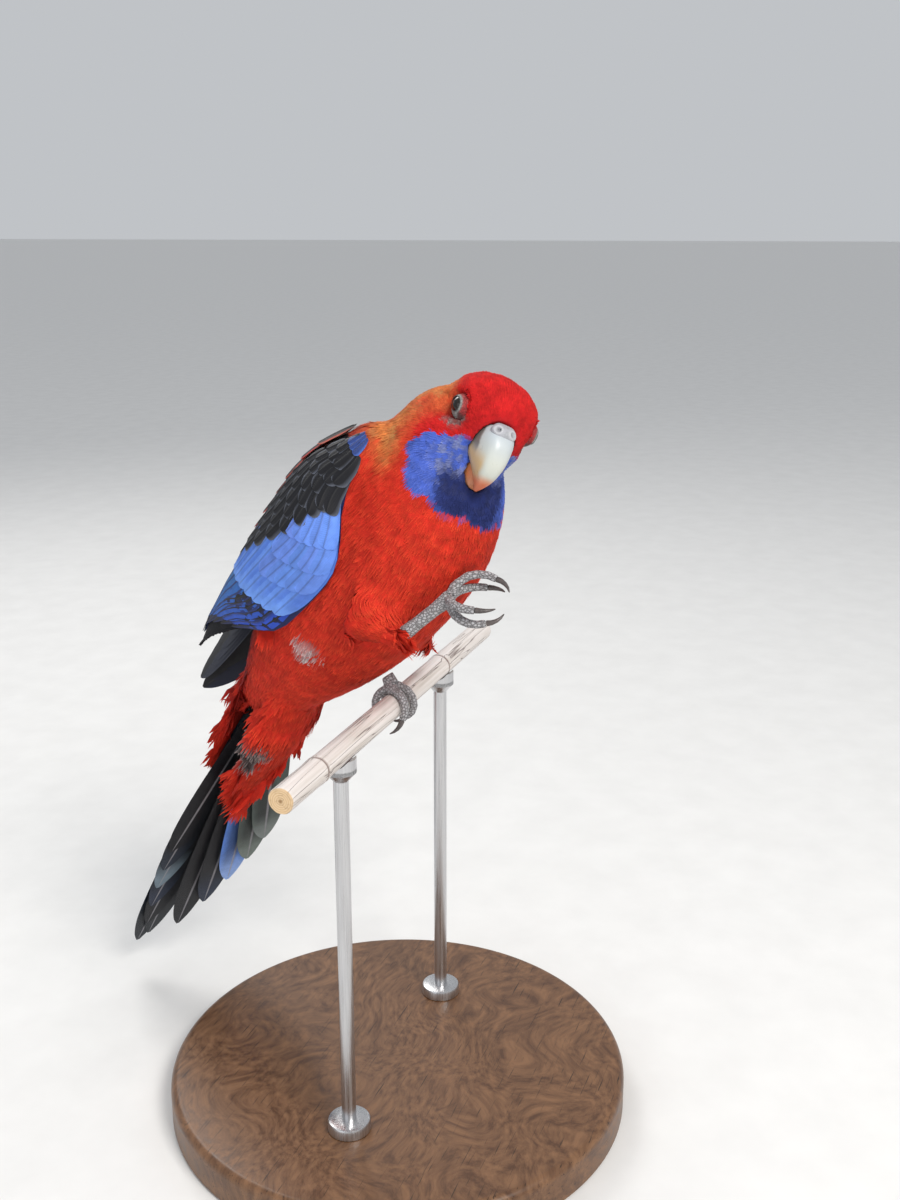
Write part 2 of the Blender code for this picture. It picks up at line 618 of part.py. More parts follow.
def build_stand(paint):
    """Round base, two rods with cups, and the cut cane that they carry."""
    centre_z = CANE_TOP - CANE_RADIUS
    rings = []
    profile = [(CANE_NEAR_END, 0.93), (CANE_NEAR_END + 0.6, 1.0)]
    for node in CANE_NODES:
        profile += [(node - 4.0, 1.0), (node - 1.0, 1.05), (node, 0.97), (node + 1.0, 1.06),
                    (node + 4.0, 1.0)]
    profile += [(CANE_FAR_END - 0.6, 1.0), (CANE_FAR_END, 0.93)]
    for x, share in profile:
        radius = CANE_RADIUS * share
        rings.append([(x, radius * math.cos(2 * math.pi * i / CANE_SIDES),
                       centre_z + radius * math.sin(2 * math.pi * i / CANE_SIDES))
                      for i in range(CANE_SIDES)])
    cane = loft("perch", rings, paint["cane"])
    cane_clear = grown_copy(cane, GAP)

    turned("stand_base", (0, 0), paint["wood"], 36, (
        (BASE_RADIUS - 1.0, 0.0), (BASE_RADIUS, 1.0),
        (BASE_RADIUS, BASE_THICKNESS - BASE_EDGE - 1.0),
        (BASE_RADIUS - 0.9, BASE_THICKNESS - 1.4), (BASE_RADIUS - BASE_EDGE, BASE_THICKNESS)))
    cup_bottom = centre_z - CANE_RADIUS - 3.0
    for name, x in (("stand_rod_near", -ROD_OFFSET), ("stand_rod_far", ROD_OFFSET)):
        foot = BASE_THICKNESS + GAP
        rod = turned(name, (x, 0), paint["steel"], 12, (
            (COLLAR_RADIUS, foot), (COLLAR_RADIUS, foot + COLLAR_HEIGHT - 1.0),
            (COLLAR_RADIUS - 1.0, foot + COLLAR_HEIGHT), (ROD_RADIUS, foot + COLLAR_HEIGHT),
            (ROD_RADIUS, cup_bottom - 3.0), (CUP_RADIUS, cup_bottom),
            (CUP_RADIUS, cup_bottom + CUP_HEIGHT - 2.0)))
        boolean(rod, cane_clear, "DIFFERENCE")
    return cane_clear


def turned(name, centre, material, sides, profile):
    """A closed turned piece: profile is radius and height in mm, bottom first."""
    rings = []
    for radius, height in profile:
        rings.append([(centre[0] + radius * math.cos(2 * math.pi * i / sides),
                       centre[1] + radius * math.sin(2 * math.pi * i / sides), height)
                      for i in range(sides)])
    return loft(name, rings, material)


def build_paint():
    """Colours and finishes, by name."""
    return {
        "tool": make_material("tool", (0.5, 0.5, 0.5), 0.5),
        "red": make_material("crimson_plumage", (0.62, 0.03, 0.015), 0.8),
        "wing": make_material("wing_coverts", (0.10, 0.22, 0.75), 0.7),
        "flight": make_material("flight_feathers", (0.015, 0.015, 0.03), 0.6),
        "tail": make_material("tail_middle", (0.02, 0.04, 0.10), 0.6),
        "tail_side": make_material("tail_side", (0.18, 0.36, 0.75), 0.6),
        "bill": make_material("bill_horn", (0.72, 0.73, 0.66), 0.35),
        "cere": make_material("cere", (0.55, 0.55, 0.58), 0.5),
        "eye": make_material("eye", (0.02, 0.012, 0.008), 0.08),
        "leg": make_material("leg_scales", (0.33, 0.30, 0.30), 0.6),
        "claw": make_material("claw", (0.06, 0.05, 0.05), 0.3),
        "cane": make_material("cane", (0.66, 0.60, 0.52), 0.7),
        "wood": make_material("base_wood", (0.17, 0.09, 0.045), 0.45),
        "steel": make_material("brushed_steel", (0.60, 0.60, 0.61), 0.3, 1.0),
    }


def main():
    """Builds the whole model."""
    clear_scene()
    paint = build_paint()
    build_stand(paint)
    grip = make_frame("grip_frame", Matrix.Translation(Vector((0, 0, CANE_TOP)) * MM))
    trunk_frame = make_frame("trunk_frame", turn_matrix(TRUNK_AT, TRUNK_TURN), grip)
    head_frame = make_frame("head_frame", turn_matrix(HEAD_AT, HEAD_TURN), grip)
    bpy.context.view_layer.update()

    trunk, neck, head = build_body(trunk_frame, head_frame, paint)
    build_bill(head_frame, head, paint)
    build_eyes(head_frame, head, paint)
    trunk_clear = grown_copy(bpy.data.objects["trunk_shape"], GAP)
    build_wing("wing_right", RIGHT_WRIST, RIGHT_TIP, -1, trunk_frame, trunk_clear, paint)
    build_wing("wing_left", LEFT_WRIST, LEFT_TIP, 1, trunk_frame, trunk_clear, paint)
    build_tail(trunk_frame, trunk_clear, paint)
    build_legs(grip, trunk_clear, paint)


main()
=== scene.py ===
"""Looks for a life-size crimson rosella model: skin, feathers, bill, eyes, feet, cane and stand.

Lengths are in mm in the frames of the grip, trunk and head, and in metres in the world."""

import math

import bmesh
import bpy
import numpy as np
from mathutils import Matrix, Vector
from mathutils.bvhtree import BVHTree

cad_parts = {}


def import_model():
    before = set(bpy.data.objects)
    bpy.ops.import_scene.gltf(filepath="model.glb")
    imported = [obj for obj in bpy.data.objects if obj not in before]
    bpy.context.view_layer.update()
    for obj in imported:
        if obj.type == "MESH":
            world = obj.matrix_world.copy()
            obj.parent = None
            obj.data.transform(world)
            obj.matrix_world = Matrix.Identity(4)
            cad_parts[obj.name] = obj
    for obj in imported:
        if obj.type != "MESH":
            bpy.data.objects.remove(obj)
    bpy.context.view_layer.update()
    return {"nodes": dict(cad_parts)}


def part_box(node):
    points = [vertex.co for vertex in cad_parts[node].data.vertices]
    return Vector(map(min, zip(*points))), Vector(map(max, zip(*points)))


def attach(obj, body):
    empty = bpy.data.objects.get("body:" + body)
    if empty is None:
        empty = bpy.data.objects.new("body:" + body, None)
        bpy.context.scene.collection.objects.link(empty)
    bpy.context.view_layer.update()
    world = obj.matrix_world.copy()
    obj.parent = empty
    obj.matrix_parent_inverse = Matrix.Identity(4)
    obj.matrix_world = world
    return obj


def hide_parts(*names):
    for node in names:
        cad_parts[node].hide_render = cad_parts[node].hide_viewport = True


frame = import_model()
nodes = frame["nodes"]
rng = np.random.default_rng(11)
MM = 0.001

# ---------- sizes shared with the solids

CANE_RADIUS = 4.3
CANE_NODES = (-62.0, 44.0)
TRUNK_AT, TRUNK_TURN = (-0.1, 4.9, 50.3), (-103.3, -50.7, -11.5)
HEAD_AT, HEAD_TURN = (-7.1, -37.1, 96.5), (-152.1, 19.2, -25.6)
BILL_SECTIONS = (                       # ridge x and z, edge x and z, half width
    (10.0, 4.6, 4.5, -5.2, 6.4), (14.6, 4.2, 7.8, -6.6, 6.3), (18.2, 1.8, 10.8, -7.8, 5.5),
    (20.4, -2.0, 12.6, -8.8, 4.8), (21.1, -6.2, 13.6, -9.8, 4.0), (20.4, -10.0, 14.6, -11.0, 3.1),
    (18.8, -13.2, 15.4, -12.5, 2.0), (17.0, -15.6, 15.9, -14.6, 0.9),
)
LOWER_BILL_SECTIONS = (                 # x, half width, bottom z
    (2.5, 4.4, -14.4), (6.0, 4.8, -16.2), (9.5, 4.6, -17.2), (12.5, 3.8, -17.4), (14.6, 2.4, -16.4),
)
WING_STATIONS = (                       # x, centre z, radius, lower and back edge angle, thickness
    (43, 0.0, 23.0, 37, 51, 2.0), (40, 0.0, 24.6, 29, 58, 3.2), (33, 0.0, 27.0, 16, 66, 4.8),
    (22, 0.0, 28.8, 9, 71, 7.6), (12, 0.0, 29.4, -6, 73, 9.4), (0, 0.0, 29.6, -14, 75, 9.6),
    (-22, 1.2, 29.0, -14, 75, 9.0), (-34, 2.2, 28.5, -12, 74, 8.0), (-44, 3.4, 28.0, 2, 72, 7.0),
    (-56, 5.4, 27.0, 14, 70, 5.4), (-72, 8.6, 25.0, 30, 67, 3.6), (-86, 11.5, 22.5, 46, 64, 1.8),
)
WING_EDGE = 1.0
WINGS_AT = (                            # name, side, wrist, tip
    ("right", -1, (40.0, -30.0, 8.0), (-114.0, 1.0, 37.0)),
    ("left", 1, (40.0, 30.0, 8.0), (-114.0, 9.0, 33.0)),
)
WING_OUTWARD_RISE = 24.0
PRIMARY_ROOT = 62.0
PRIMARY_LENGTHS = (162.0, 156.0, 148.0, 138.0, 127.0)
PRIMARY_WIDTH, PRIMARY_ROOT_HEIGHT, PRIMARY_STEP = 12.0, -7.0, 2.2
PRIMARY_TIP_STEP, PRIMARY_DEPTH, PRIMARY_LAYER, PRIMARY_LEAN = 0.6, 3.2, 0.45, 0.3
TAIL_ROOT, TAIL_SWING, TAIL_DROOP, TAIL_START = (-70.0, 0.0, 6.0), -3.3, -6.9, 6.0
CENTRE_LENGTHS = (172.0, 168.0)
SIDE_LENGTHS = (156.0, 142.0, 128.0, 115.0, 102.0)
TAIL_SIDES = (                          # name, sign, spread, height, roof
    ("right", 1, 7.0, -2.0, 0.0), ("left", -1, 17.0, -5.4, 3.0),
)
TAIL_FEATHER_WIDTH, TAIL_LAYER = 19.0, 0.4
ROD_OFFSET = 45.0
ROD_RADIUS, CUP_RADIUS, CUP_DEPTH = 2.5, 5.2, 3.0
ANKLES = {"right": (-29.5, -14.7, 30.7), "left": (3.0, 9.0, 15.0)}

# ---------- sizes of the looks

SKULL_MIDDLE = (-3, 0, -3)
SKIN_SWELL, SKIN_VOXEL, SKIN_RELAX = 0.5, 1.25, 14
DISH_RADIUS, DISH_RIM, DISH_HEIGHT, DISH_RISE = 3.9, 7.0, 1.2, 2.2
BARE_RING = 3.7                         # radius round an eye where no feather is rooted
EYE_TURN = 0.16                         # how far the eyes look ahead of sideways
EYE_RADIUS = 3.6
LID_PROFILE = (                         # distance from the eye's axis, height, ovalness
    (2.30, 2.72, 1.0), (2.33, 2.94, 1.0), (2.44, 3.04, 1.0), (2.62, 2.98, 1.0),
    (2.82, 2.74, 0.8), (3.0, 2.52, 0.65), (3.2, 2.24, 0.5), (3.4, 1.90, 0.35),
    (3.6, 1.45, 0.2), (3.85, 0.90, 0.1), (4.1, 0.20, 0.0), (4.3, -0.8, 0.0),
)
CERE_RADII, CERE_PITCH, NOSTRIL_AT = (3.0, 4.3, 2.0), 24, (0.9, 2.7, 1.75)
COAT_TRIES, COAT_QUICK_SHARE, PIECE_TRIANGLES = 90000, 0.45, 190000
SMALL_FEATHER, SMALL_LOCKS, LARGE_LOCKS = 5.6, (2, 5), (3, 9)
BROAD_BELOW, BROAD_VANE, NARROW_VANE = 6.5, 0.78, 0.68
THIGH_FEATHER, ANKLE_FEATHER, ANKLE_REACH = 4.5, 8.0, 9
COVERT_LEAST, BODY_LEAST, THIGH_LEAST, ANY_LEAST = 0.8, 0.62, 0.75, 0.3
WING_BEND, HARD_GAP = 39.5, 0.9
COAT_SPACING, COAT_SPACING_SLOPE = 0.30, 0.172
COAT_SINK, COAT_LIFT, COAT_LIFT_SLOPE = -0.1, 0.32, 0.055
PATCH_ACROSS, PATCH_ALONG = 0.0013, 0.0026      # a soft feather's patch on the OFBake map
FIRM_PATCH_ALONG, FIRM_PATCH_ASIDE = 0.0028, 0.0009

# ---------- colours, linear

CRIMSON, SCARLET, DEEP_RED = (0.56, 0.022, 0.012), (0.80, 0.082, 0.028), (0.42, 0.020, 0.010)
CROWN, CROWN_EDGE = (0.48, 0.010, 0.012), (0.62, 0.022, 0.016)
ORANGE, OLIVE, NAPE_EDGE = (0.74, 0.20, 0.040), (0.44, 0.30, 0.09), (0.62, 0.20, 0.06)
CHEEK, CHEEK_EDGE = (0.055, 0.105, 0.46), (0.11, 0.17, 0.56)
PALE_CHEEK, PALE_CHEEK_EDGE = (0.20, 0.22, 0.32), (0.40, 0.43, 0.55)
LORES, LORES_RED, BARE_GREY = (0.10, 0.045, 0.045), (0.42, 0.10, 0.07), (0.40, 0.41, 0.39)
BACK_EDGE, BACK_EDGE_BROWN = (0.42, 0.020, 0.014), (0.30, 0.09, 0.03)
RUMP, RUMP_EDGE = (0.05, 0.008, 0.010), (0.52, 0.035, 0.035)
VENT, VENT_EDGE = (0.03, 0.022, 0.022), (0.42, 0.39, 0.38)
FLANK_DOWN, FLANK_DOWN_EDGE = (0.30, 0.22, 0.22), (0.74, 0.70, 0.69)
NAVY, BLACK, SOOT = (0.012, 0.018, 0.085), (0.009, 0.009, 0.012), (0.006, 0.007, 0.011)
CORNFLOWER, COBALT, TEAL = (0.13, 0.28, 0.80), (0.022, 0.075, 0.50), (0.03, 0.22, 0.34)
OUTER_BLUE, SHADED_GREEN = (0.11, 0.27, 0.80), (0.085, 0.11, 0.10)
PALE_QUILL = (0.36, 0.35, 0.38)
# Painted shade: the right side's outer feathers are painted near black and the left side's two
# outermost a shaded grey-green (SHADED_GREEN), where these feathers are pale blue; the blackish inner
# webs are their own colour.
TAIL_WEBS = {                           # web and end of each side feather, middle to outermost
    "right": ((SOOT, SOOT), (SOOT, (0.02, 0.03, 0.06)), (SOOT, (0.20, 0.27, 0.33)),
              (SOOT, (0.02, 0.03, 0.05)), (SOOT, SOOT)),
    "left": ((SOOT, SOOT), (SOOT, (0.02, 0.03, 0.06)), (OUTER_BLUE, (0.30, 0.46, 0.88)),
             (SHADED_GREEN, (0.20, 0.24, 0.22)), (SHADED_GREEN, (0.26, 0.30, 0.29))),
}

# ---------- studio

FLOOR_REACH = 40.0
LAMP_TARGET = (-0.01, -0.005, 0.20)
LAMPS = (                               # name, place, size, power, colour
    ("key", (-0.55, -0.75, 1.05), 0.45, 13.5, (1.0, 0.97, 0.92)),
    ("fill", (-1.1, 0.35, 0.45), 0.9, 2.5, (0.92, 0.95, 1.0)),
    ("rim", (0.55, 0.65, 0.95), 0.5, 4.5, (1.0, 0.98, 0.95)),
)
CAMERA_AT = (-0.3935, -0.1663, 0.1554)  # metres from the grip
CAMERA_HEADING, CAMERA_PITCH = math.atan2(0.3469, 0.9379), math.radians(-15.93)
SENSOR, LENS = 36.0, 38.88


# ---------- frames and small tools

def turn_matrix(location, turn):
    """Frame at a place in mm, turned by heading, nose-down pitch and roll in degrees."""
    heading, pitch, roll = (math.radians(angle) for angle in turn)
    rotation = (Matrix.Rotation(heading, 4, "Z") @ Matrix.Rotation(pitch, 4, "Y")
                @ Matrix.Rotation(roll, 4, "X"))
    return Matrix.Translation(Vector(location) * MM) @ rotation


def axes_matrix(location, x_axis, z_hint):
    """Frame at a place in mm whose X is x_axis and whose Z is as near z_hint as can be."""
    x_axis = Vector(x_axis).normalized()
    y_axis = Vector(z_hint).cross(x_axis).normalized()
    rotation = Matrix((x_axis, y_axis, x_axis.cross(y_axis))).transposed().to_4x4()
    return Matrix.Translation(Vector(location) * MM) @ rotation


def local(matrix, points):
    """World points in metres, in a frame's axes, in mm."""
    m = np.array(matrix.inverted())
    return (np.asarray(points) @ m[:3, :3].T + m[:3, 3]) / MM


def world(matrix, points):
    """Points in mm in a frame's axes, in the world, in metres."""
    m = np.array(matrix)
    return (np.asarray(points, float) * MM) @ m[:3, :3].T + m[:3, 3]


def axis_of(matrix, k):
    return np.array(matrix)[:3, k]


def unit(v):
    return v / np.maximum(np.linalg.norm(v, axis=-1, keepdims=True), 1e-12)


def smooth(low, high, value):
    """0 at low, 1 at high, with an even start and end."""
    t = np.clip((value - low) / (high - low), 0.0, 1.0)
    return t * t * (3 - 2 * t)


def bell(value, width):
    return np.exp(-(value / width) ** 2)


def rounded(value, power):
    """A power that keeps the value's sign, which squares off a ring of sines."""
    return np.copysign(np.abs(value) ** power, value)


def mix(a, b, share):
    """Blend of two colours, by one share or by a share for each point."""
    share = np.asarray(share)[..., None]
    return np.asarray(a) * (1 - share) + np.asarray(b) * share


def ring_angles(count):
    return 2 * math.pi * np.arange(count) / count


def spline(stations, steps):
    """Catmull-Rom values between stations, steps to each gap."""
    rows = np.array([stations[0], *stations, stations[-1]], float)
    t = np.arange(steps)[:, None] / steps
    gaps = [0.5 * (2 * b + (c - a) * t + (2 * a - 5 * b + 4 * c - d) * t * t
                   + (3 * b - a - 3 * c + d) * t ** 3)
            for a, b, c, d in zip(rows, rows[1:], rows[2:], rows[3:])]
    return np.concatenate([*gaps, rows[-1:]])


def nearest(tree, points):
    """Places, normals, faces and distances of a tree's nearest faces."""
    return [np.array(values) for values in zip(*(tree.find_nearest(Vector(p)) for p in points))]


perch_low, perch_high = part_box("perch")
CANE_Z = (perch_low.z + perch_high.z) / 2
GRIP = Matrix.Translation((0, 0, CANE_Z + CANE_RADIUS * MM))
TRUNK = GRIP @ turn_matrix(TRUNK_AT, TRUNK_TURN)
HEAD = GRIP @ turn_matrix(HEAD_AT, HEAD_TURN)


# ---------- materials

class Nodes:
    """A short way to write a material's node tree."""

    def __init__(self, name, roughness, specular, metallic=0.0):
        self.material = bpy.data.materials.new(name)
        self.material.use_nodes = True
        self.tree = self.material.node_tree
        self.shader = self.tree.nodes["Principled BSDF"]
        self.shader.inputs["Roughness"].default_value = roughness
        self.shader.inputs["Specular IOR Level"].default_value = specular
        self.shader.inputs["Metallic"].default_value = metallic

    def put(self, value, socket):
        if isinstance(value, bpy.types.NodeSocket):
            self.tree.links.new(value, socket)
        else:
            socket.default_value = value

    def node(self, kind, output=0, **inputs):
        """A new node's output; p_ names a property, _0 an input by number."""
        node = self.tree.nodes.new(kind)
        for key, value in inputs.items():
            if key.startswith("p_"):
                setattr(node, key[2:], value)
            else:
                self.put(value, node.inputs[int(key[1:]) if key[1:].isdigit() else key])
        return node.outputs[output]

    def attribute(self, name, output="Color"):
        return self.node("ShaderNodeAttribute", output, p_attribute_name=name)

    def place(self):
        return self.node("ShaderNodeTexCoord", "Object")

    def stretched(self, *scale):
        return self.node("ShaderNodeMapping", 0, Vector=self.place(), Scale=scale)

    def noise(self, scale, detail=3.0, vector=None, rough=0.55, distortion=0.0):
        return self.node("ShaderNodeTexNoise", 0, Vector=vector or self.place(), Scale=scale,
                         Detail=detail, Roughness=rough, Distortion=distortion)

    def cells(self, scale, vector=None, feature="F1"):
        return self.node("ShaderNodeTexVoronoi", "Distance", p_feature=feature,
                         Vector=vector or self.place(), Scale=scale)

    def math(self, operation, a, b=0.5):
        return self.node("ShaderNodeMath", 0, p_operation=operation, _0=a, _1=b)

    def off(self, value, middle):
        """How far a value is from the middle."""
        return self.math("ABSOLUTE", self.math("SUBTRACT", value, middle))

    def span(self, value, low, high, out_low=0.0, out_high=1.0):
        return self.node("ShaderNodeMapRange", 0, _0=value, _1=low, _2=high, _3=out_low, _4=out_high)

    def blend(self, value, low, high, a, b):
        """Colour a where the value is low, and b where it is high."""
        node = self.tree.nodes.new("ShaderNodeMix")
        node.data_type = "RGBA"
        self.put(self.span(value, low, high), node.inputs[0])
        for colour, k in ((a, 6), (b, 7)):
            self.put((*colour, 1.0) if isinstance(colour, tuple) else colour, node.inputs[k])
        return node.outputs[2]

    def scaled(self, colour, by):
        return self.node("ShaderNodeVectorMath", 0, p_operation="SCALE", _0=colour, Scale=by)

    def parts(self, vector):
        node = self.tree.nodes.new("ShaderNodeSeparateXYZ")
        self.put(vector, node.inputs[0])
        return node.outputs

    def finish(self, colour, bump=None, distance=0.0002, roughness=None, strength=1.0):
        self.put(colour, self.shader.inputs["Base Color"])
        if roughness is not None:
            self.put(roughness, self.shader.inputs["Roughness"])
        if bump is not None:
            self.put(self.node("ShaderNodeBump", 0, Strength=strength, Distance=distance,
                               Height=bump), self.shader.inputs["Normal"])
        return self.material


def plumage_material(name, roughness, barb, streak, specular):
    """Feather vane: its own tint, finer tone changes, and barbs as fine ridges."""
    n = Nodes(name, roughness, specular)
    along, across, _ = n.parts(n.attribute("vane", "Vector"))
    tone = n.span(n.noise(260.0, 4.0), 0.3, 0.7, 1.0 - streak, 1.0 + streak)
    slant = n.math("SUBTRACT", along, n.math("ABSOLUTE", across))
    wave = n.math("SINE", n.math("MULTIPLY", slant, barb))
    fine = n.math("ADD", n.math("MULTIPLY", wave, 0.5), 0.5)
    tone = n.math("MULTIPLY", tone, n.span(fine, 0.0, 1.0, 0.88, 1.05))
    return n.finish(n.scaled(n.attribute("tint"), tone), fine, 0.00006, strength=0.6)


def skin_material():
    """Skin under the feathers, with the same markings."""
    n = Nodes("skin", 0.8, 0.2)
    tone = n.span(n.noise(500.0), 0.3, 0.7, 0.70, 0.95)
    return n.finish(n.scaled(n.attribute("tint"), tone), n.noise(1200.0))


def bill_material():
    """Smooth horn with faint growth streaks."""
    n = Nodes("bill_horn", 0.34, 0.5)
    base = n.attribute("tint")
    streak = n.noise(700.0, 4.0, n.stretched(0.3, 1.0, 0.3))
    aged = n.blend(0.25, 0.0, 1.0, base, (0.60, 0.60, 0.50))
    colour = n.blend(n.noise(90.0, 4.0), 0.35, 0.75, base, aged)
    return n.finish(colour, streak, 0.00006, n.span(n.noise(300.0), 0.3, 0.7, 0.26, 0.46), 0.7)


def cere_material():
    n = Nodes("cere_skin", 0.5, 0.4)
    colour = n.blend(n.noise(900.0), 0.3, 0.7, n.attribute("tint"), (0.40, 0.40, 0.44))
    return n.finish(colour, n.cells(2600.0), 0.0001)


def eye_material():
    """Wet dark eye with faint fibres in the iris."""
    n = Nodes("eye_glass", 0.10, 0.35)
    n.shader.inputs["Coat Weight"].default_value = 0.3
    n.shader.inputs["Coat Roughness"].default_value = 0.04
    tint = n.attribute("tint")
    return n.finish(n.blend(n.noise(1800.0), 0.3, 0.7, tint, n.scaled(tint, 0.65)))


def lid_material():
    n = Nodes("eye_ring_skin", 0.6, 0.25)
    cells = n.cells(2200.0)
    tint = n.attribute("tint")
    return n.finish(n.blend(cells, 0.1, 0.6, tint, n.scaled(tint, 0.45)), cells, 0.00018)


def foot_material():
    """Grey scales with darker edges."""
    n = Nodes("leg_scales", 0.62, 0.35)
    place = n.stretched(1.0, 1.0, 1.25)
    edges = n.cells(900.0, place, "DISTANCE_TO_EDGE")
    tone = n.blend(n.cells(900.0, place), 0.0, 0.7, (0.47, 0.465, 0.48), (0.32, 0.31, 0.32))
    colour = n.blend(edges, 0.0, 0.12, (0.13, 0.12, 0.12), tone)
    return n.finish(colour, n.span(edges, 0.0, 0.18), 0.00025)


def claw_material():
    n = Nodes("claw_horn", 0.3, 0.5)
    line = n.noise(500.0, 3.0, n.stretched(1.0, 1.0, 4.0))
    colour = n.blend(line, 0.3, 0.7, (0.05, 0.042, 0.042), (0.11, 0.09, 0.085))
    return n.finish(colour, line, 0.00005)


def cane_material():
    """Dry pale cane: long fibres, cracks, dark joints, and rings on the cut near end."""
    n = Nodes("cane", 0.72, 0.25)
    fibres = n.noise(900.0, 5.0, n.stretched(0.02, 1.0, 1.0))
    patches = n.noise(60.0, 4.0, n.stretched(0.35, 1.0, 1.0))
    cracks = n.noise(330.0, 2.0, n.stretched(0.03, 1.0, 1.0), distortion=0.4)
    crack = n.span(n.off(cracks, 0.5), 0.0, 0.012)
    colour = n.blend(patches, 0.35, 0.7, (0.66, 0.61, 0.58), (0.50, 0.44, 0.38))
    colour = n.blend(fibres, 0.35, 0.65, colour, (0.74, 0.69, 0.66))
    colour = n.blend(crack, 0.0, 1.0, (0.20, 0.16, 0.15), colour)
    x, y, z = n.parts(n.place())
    for joint in CANE_NODES:
        colour = n.blend(n.off(x, joint * MM), 0.0001, 0.0009, (0.24, 0.18, 0.16), colour)
    away = n.math("SQRT", n.math("ADD", n.math("POWER", y, 2.0),
                                 n.math("POWER", n.math("SUBTRACT", z, CANE_Z), 2.0)))
    rings = n.math("SINE", n.math("MULTIPLY", away, 9000.0))
    wood = n.blend(rings, -1.0, 1.0, (0.62, 0.42, 0.23), (0.72, 0.53, 0.33))
    wood = n.blend(away, 0.0009, 0.0003, wood, (0.36, 0.22, 0.11))
    colour = n.blend(x, perch_low.x + 0.0005, perch_low.x + 0.0001, colour, wood)
    return n.finish(colour, n.math("MULTIPLY", n.math("ADD", fibres, crack), 0.5), 0.00025)


def wood_material():
    """Dark wood with a warped grain and fine pores."""
    n = Nodes("base_wood", 0.38, 0.45)
    warp = n.node("ShaderNodeVectorMath", 0, p_operation="ADD", _0=n.stretched(1.0, 9.0, 9.0),
                  _1=n.node("ShaderNodeTexNoise", 1, Vector=n.place(), Scale=14.0))
    grain = n.noise(30.0, 6.0, warp, 0.65)
    pores = n.noise(1500.0, 2.0, n.stretched(0.04, 1.0, 1.0))
    colour = n.blend(grain, 0.35, 0.65, (0.085, 0.038, 0.018), (0.21, 0.105, 0.05))
    colour = n.blend(pores, 0.62, 0.72, colour, (0.03, 0.015, 0.008))
    return n.finish(colour, pores, 0.00004, n.span(grain, 0.3, 0.7, 0.30, 0.45))


def steel_material():
    n = Nodes("rod_steel", 0.3, 0.5, 1.0)
    brushed = n.noise(2500.0, 3.0, n.stretched(1.0, 1.0, 0.02))
    colour = n.blend(brushed, 0.3, 0.7, (0.50, 0.50, 0.51), (0.66, 0.66, 0.67))
    return n.finish(colour, brushed, 0.00002, n.span(brushed, 0.3, 0.7, 0.24, 0.38))


def floor_material():
    n = Nodes("floor_pale", 0.8, 0.2)
    return n.finish(n.blend(n.noise(40.0), 0.3, 0.7, (0.76, 0.755, 0.745), (0.80, 0.795, 0.785)))


# ---------- meshes

def flat(values, kind=np.float32):
    return np.ascontiguousarray(values, kind).ravel()


def read_points(mesh):
    """Places and normals of a mesh's vertices."""
    result = []
    for key in ("co", "normal"):
        values = np.empty(len(mesh.vertices) * 3, np.float32)
        mesh.vertices.foreach_get(key, values)
        result.append(values.reshape(-1, 3).astype(float))
    return result


def put_points(mesh, points):
    mesh.vertices.foreach_set("co", flat(points))
    mesh.update()


def put_tints(mesh, colours):
    values = np.ones((len(colours), 4), np.float32)
    values[:, :3] = colours
    mesh.attributes.new("tint", "FLOAT_COLOR", "POINT").data.foreach_set("color", flat(values))


def link(name, data):
    item = bpy.data.objects.new(name, data)
    bpy.context.collection.objects.link(item)
    return item


def put_item(item, material, slot, *stands_for):
    """A smooth piece that rides on the part's one body and replaces the named solids."""
    item.data.materials.clear()
    item.data.materials.append(material)
    item.data.shade_smooth()
    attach(item, "root")
    if stands_for:
        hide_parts(*stands_for)
    return item


def loft(name, rings, material, slot, *stands_for, closed_ends=True, sharp=None):
    """A piece through rings of the same count, with sharp edges from an angle in degrees."""
    count, last = len(rings[0]), (len(rings) - 1) * len(rings[0])
    faces = [(r + i, r + (i + 1) % count, r + count + (i + 1) % count, r + count + i)
             for r in range(0, last, count) for i in range(count)]
    if closed_ends:
        faces += [tuple(range(count))[::-1], tuple(range(last, last + count))]
    mesh = bpy.data.meshes.new(name)
    mesh.from_pydata(np.concatenate(rings).tolist(), [], faces)
    mesh.validate()
    point_out(mesh)
    item = put_item(link(name, mesh), material, slot, *stands_for)
    if sharp:
        mesh.set_sharp_from_angle(angle=math.radians(sharp))
    return item


def point_out(mesh):
    """Turns the faces of a closed mesh outward."""
    maker = bmesh.new()
    maker.from_mesh(mesh)
    bmesh.ops.recalc_face_normals(maker, faces=maker.faces)
    if maker.calc_volume(signed=True) < 0:
        bmesh.ops.reverse_faces(maker, faces=maker.faces)
    maker.to_mesh(mesh)
    maker.free()


def remeshed(name, source, swell, voxel, relax):
    """A finer, rounder form of a mesh, swelled before it is relaxed."""
    item = link("source", source)
    grow = item.modifiers.new("grow", "DISPLACE")
    grow.mid_level, grow.strength = 0.0, swell * MM
    remesh = item.modifiers.new("remesh", "REMESH")
    remesh.mode, remesh.voxel_size = "VOXEL", voxel * MM
    smoother = item.modifiers.new("smoother", "SMOOTH")
    smoother.factor, smoother.iterations = 0.5, relax
    bpy.context.view_layer.update()
    graph = bpy.context.evaluated_depsgraph_get()
    mesh = bpy.data.meshes.new_from_object(item.evaluated_get(graph))
    mesh.name = name
    bpy.data.objects.remove(item, do_unlink=True)
    return mesh


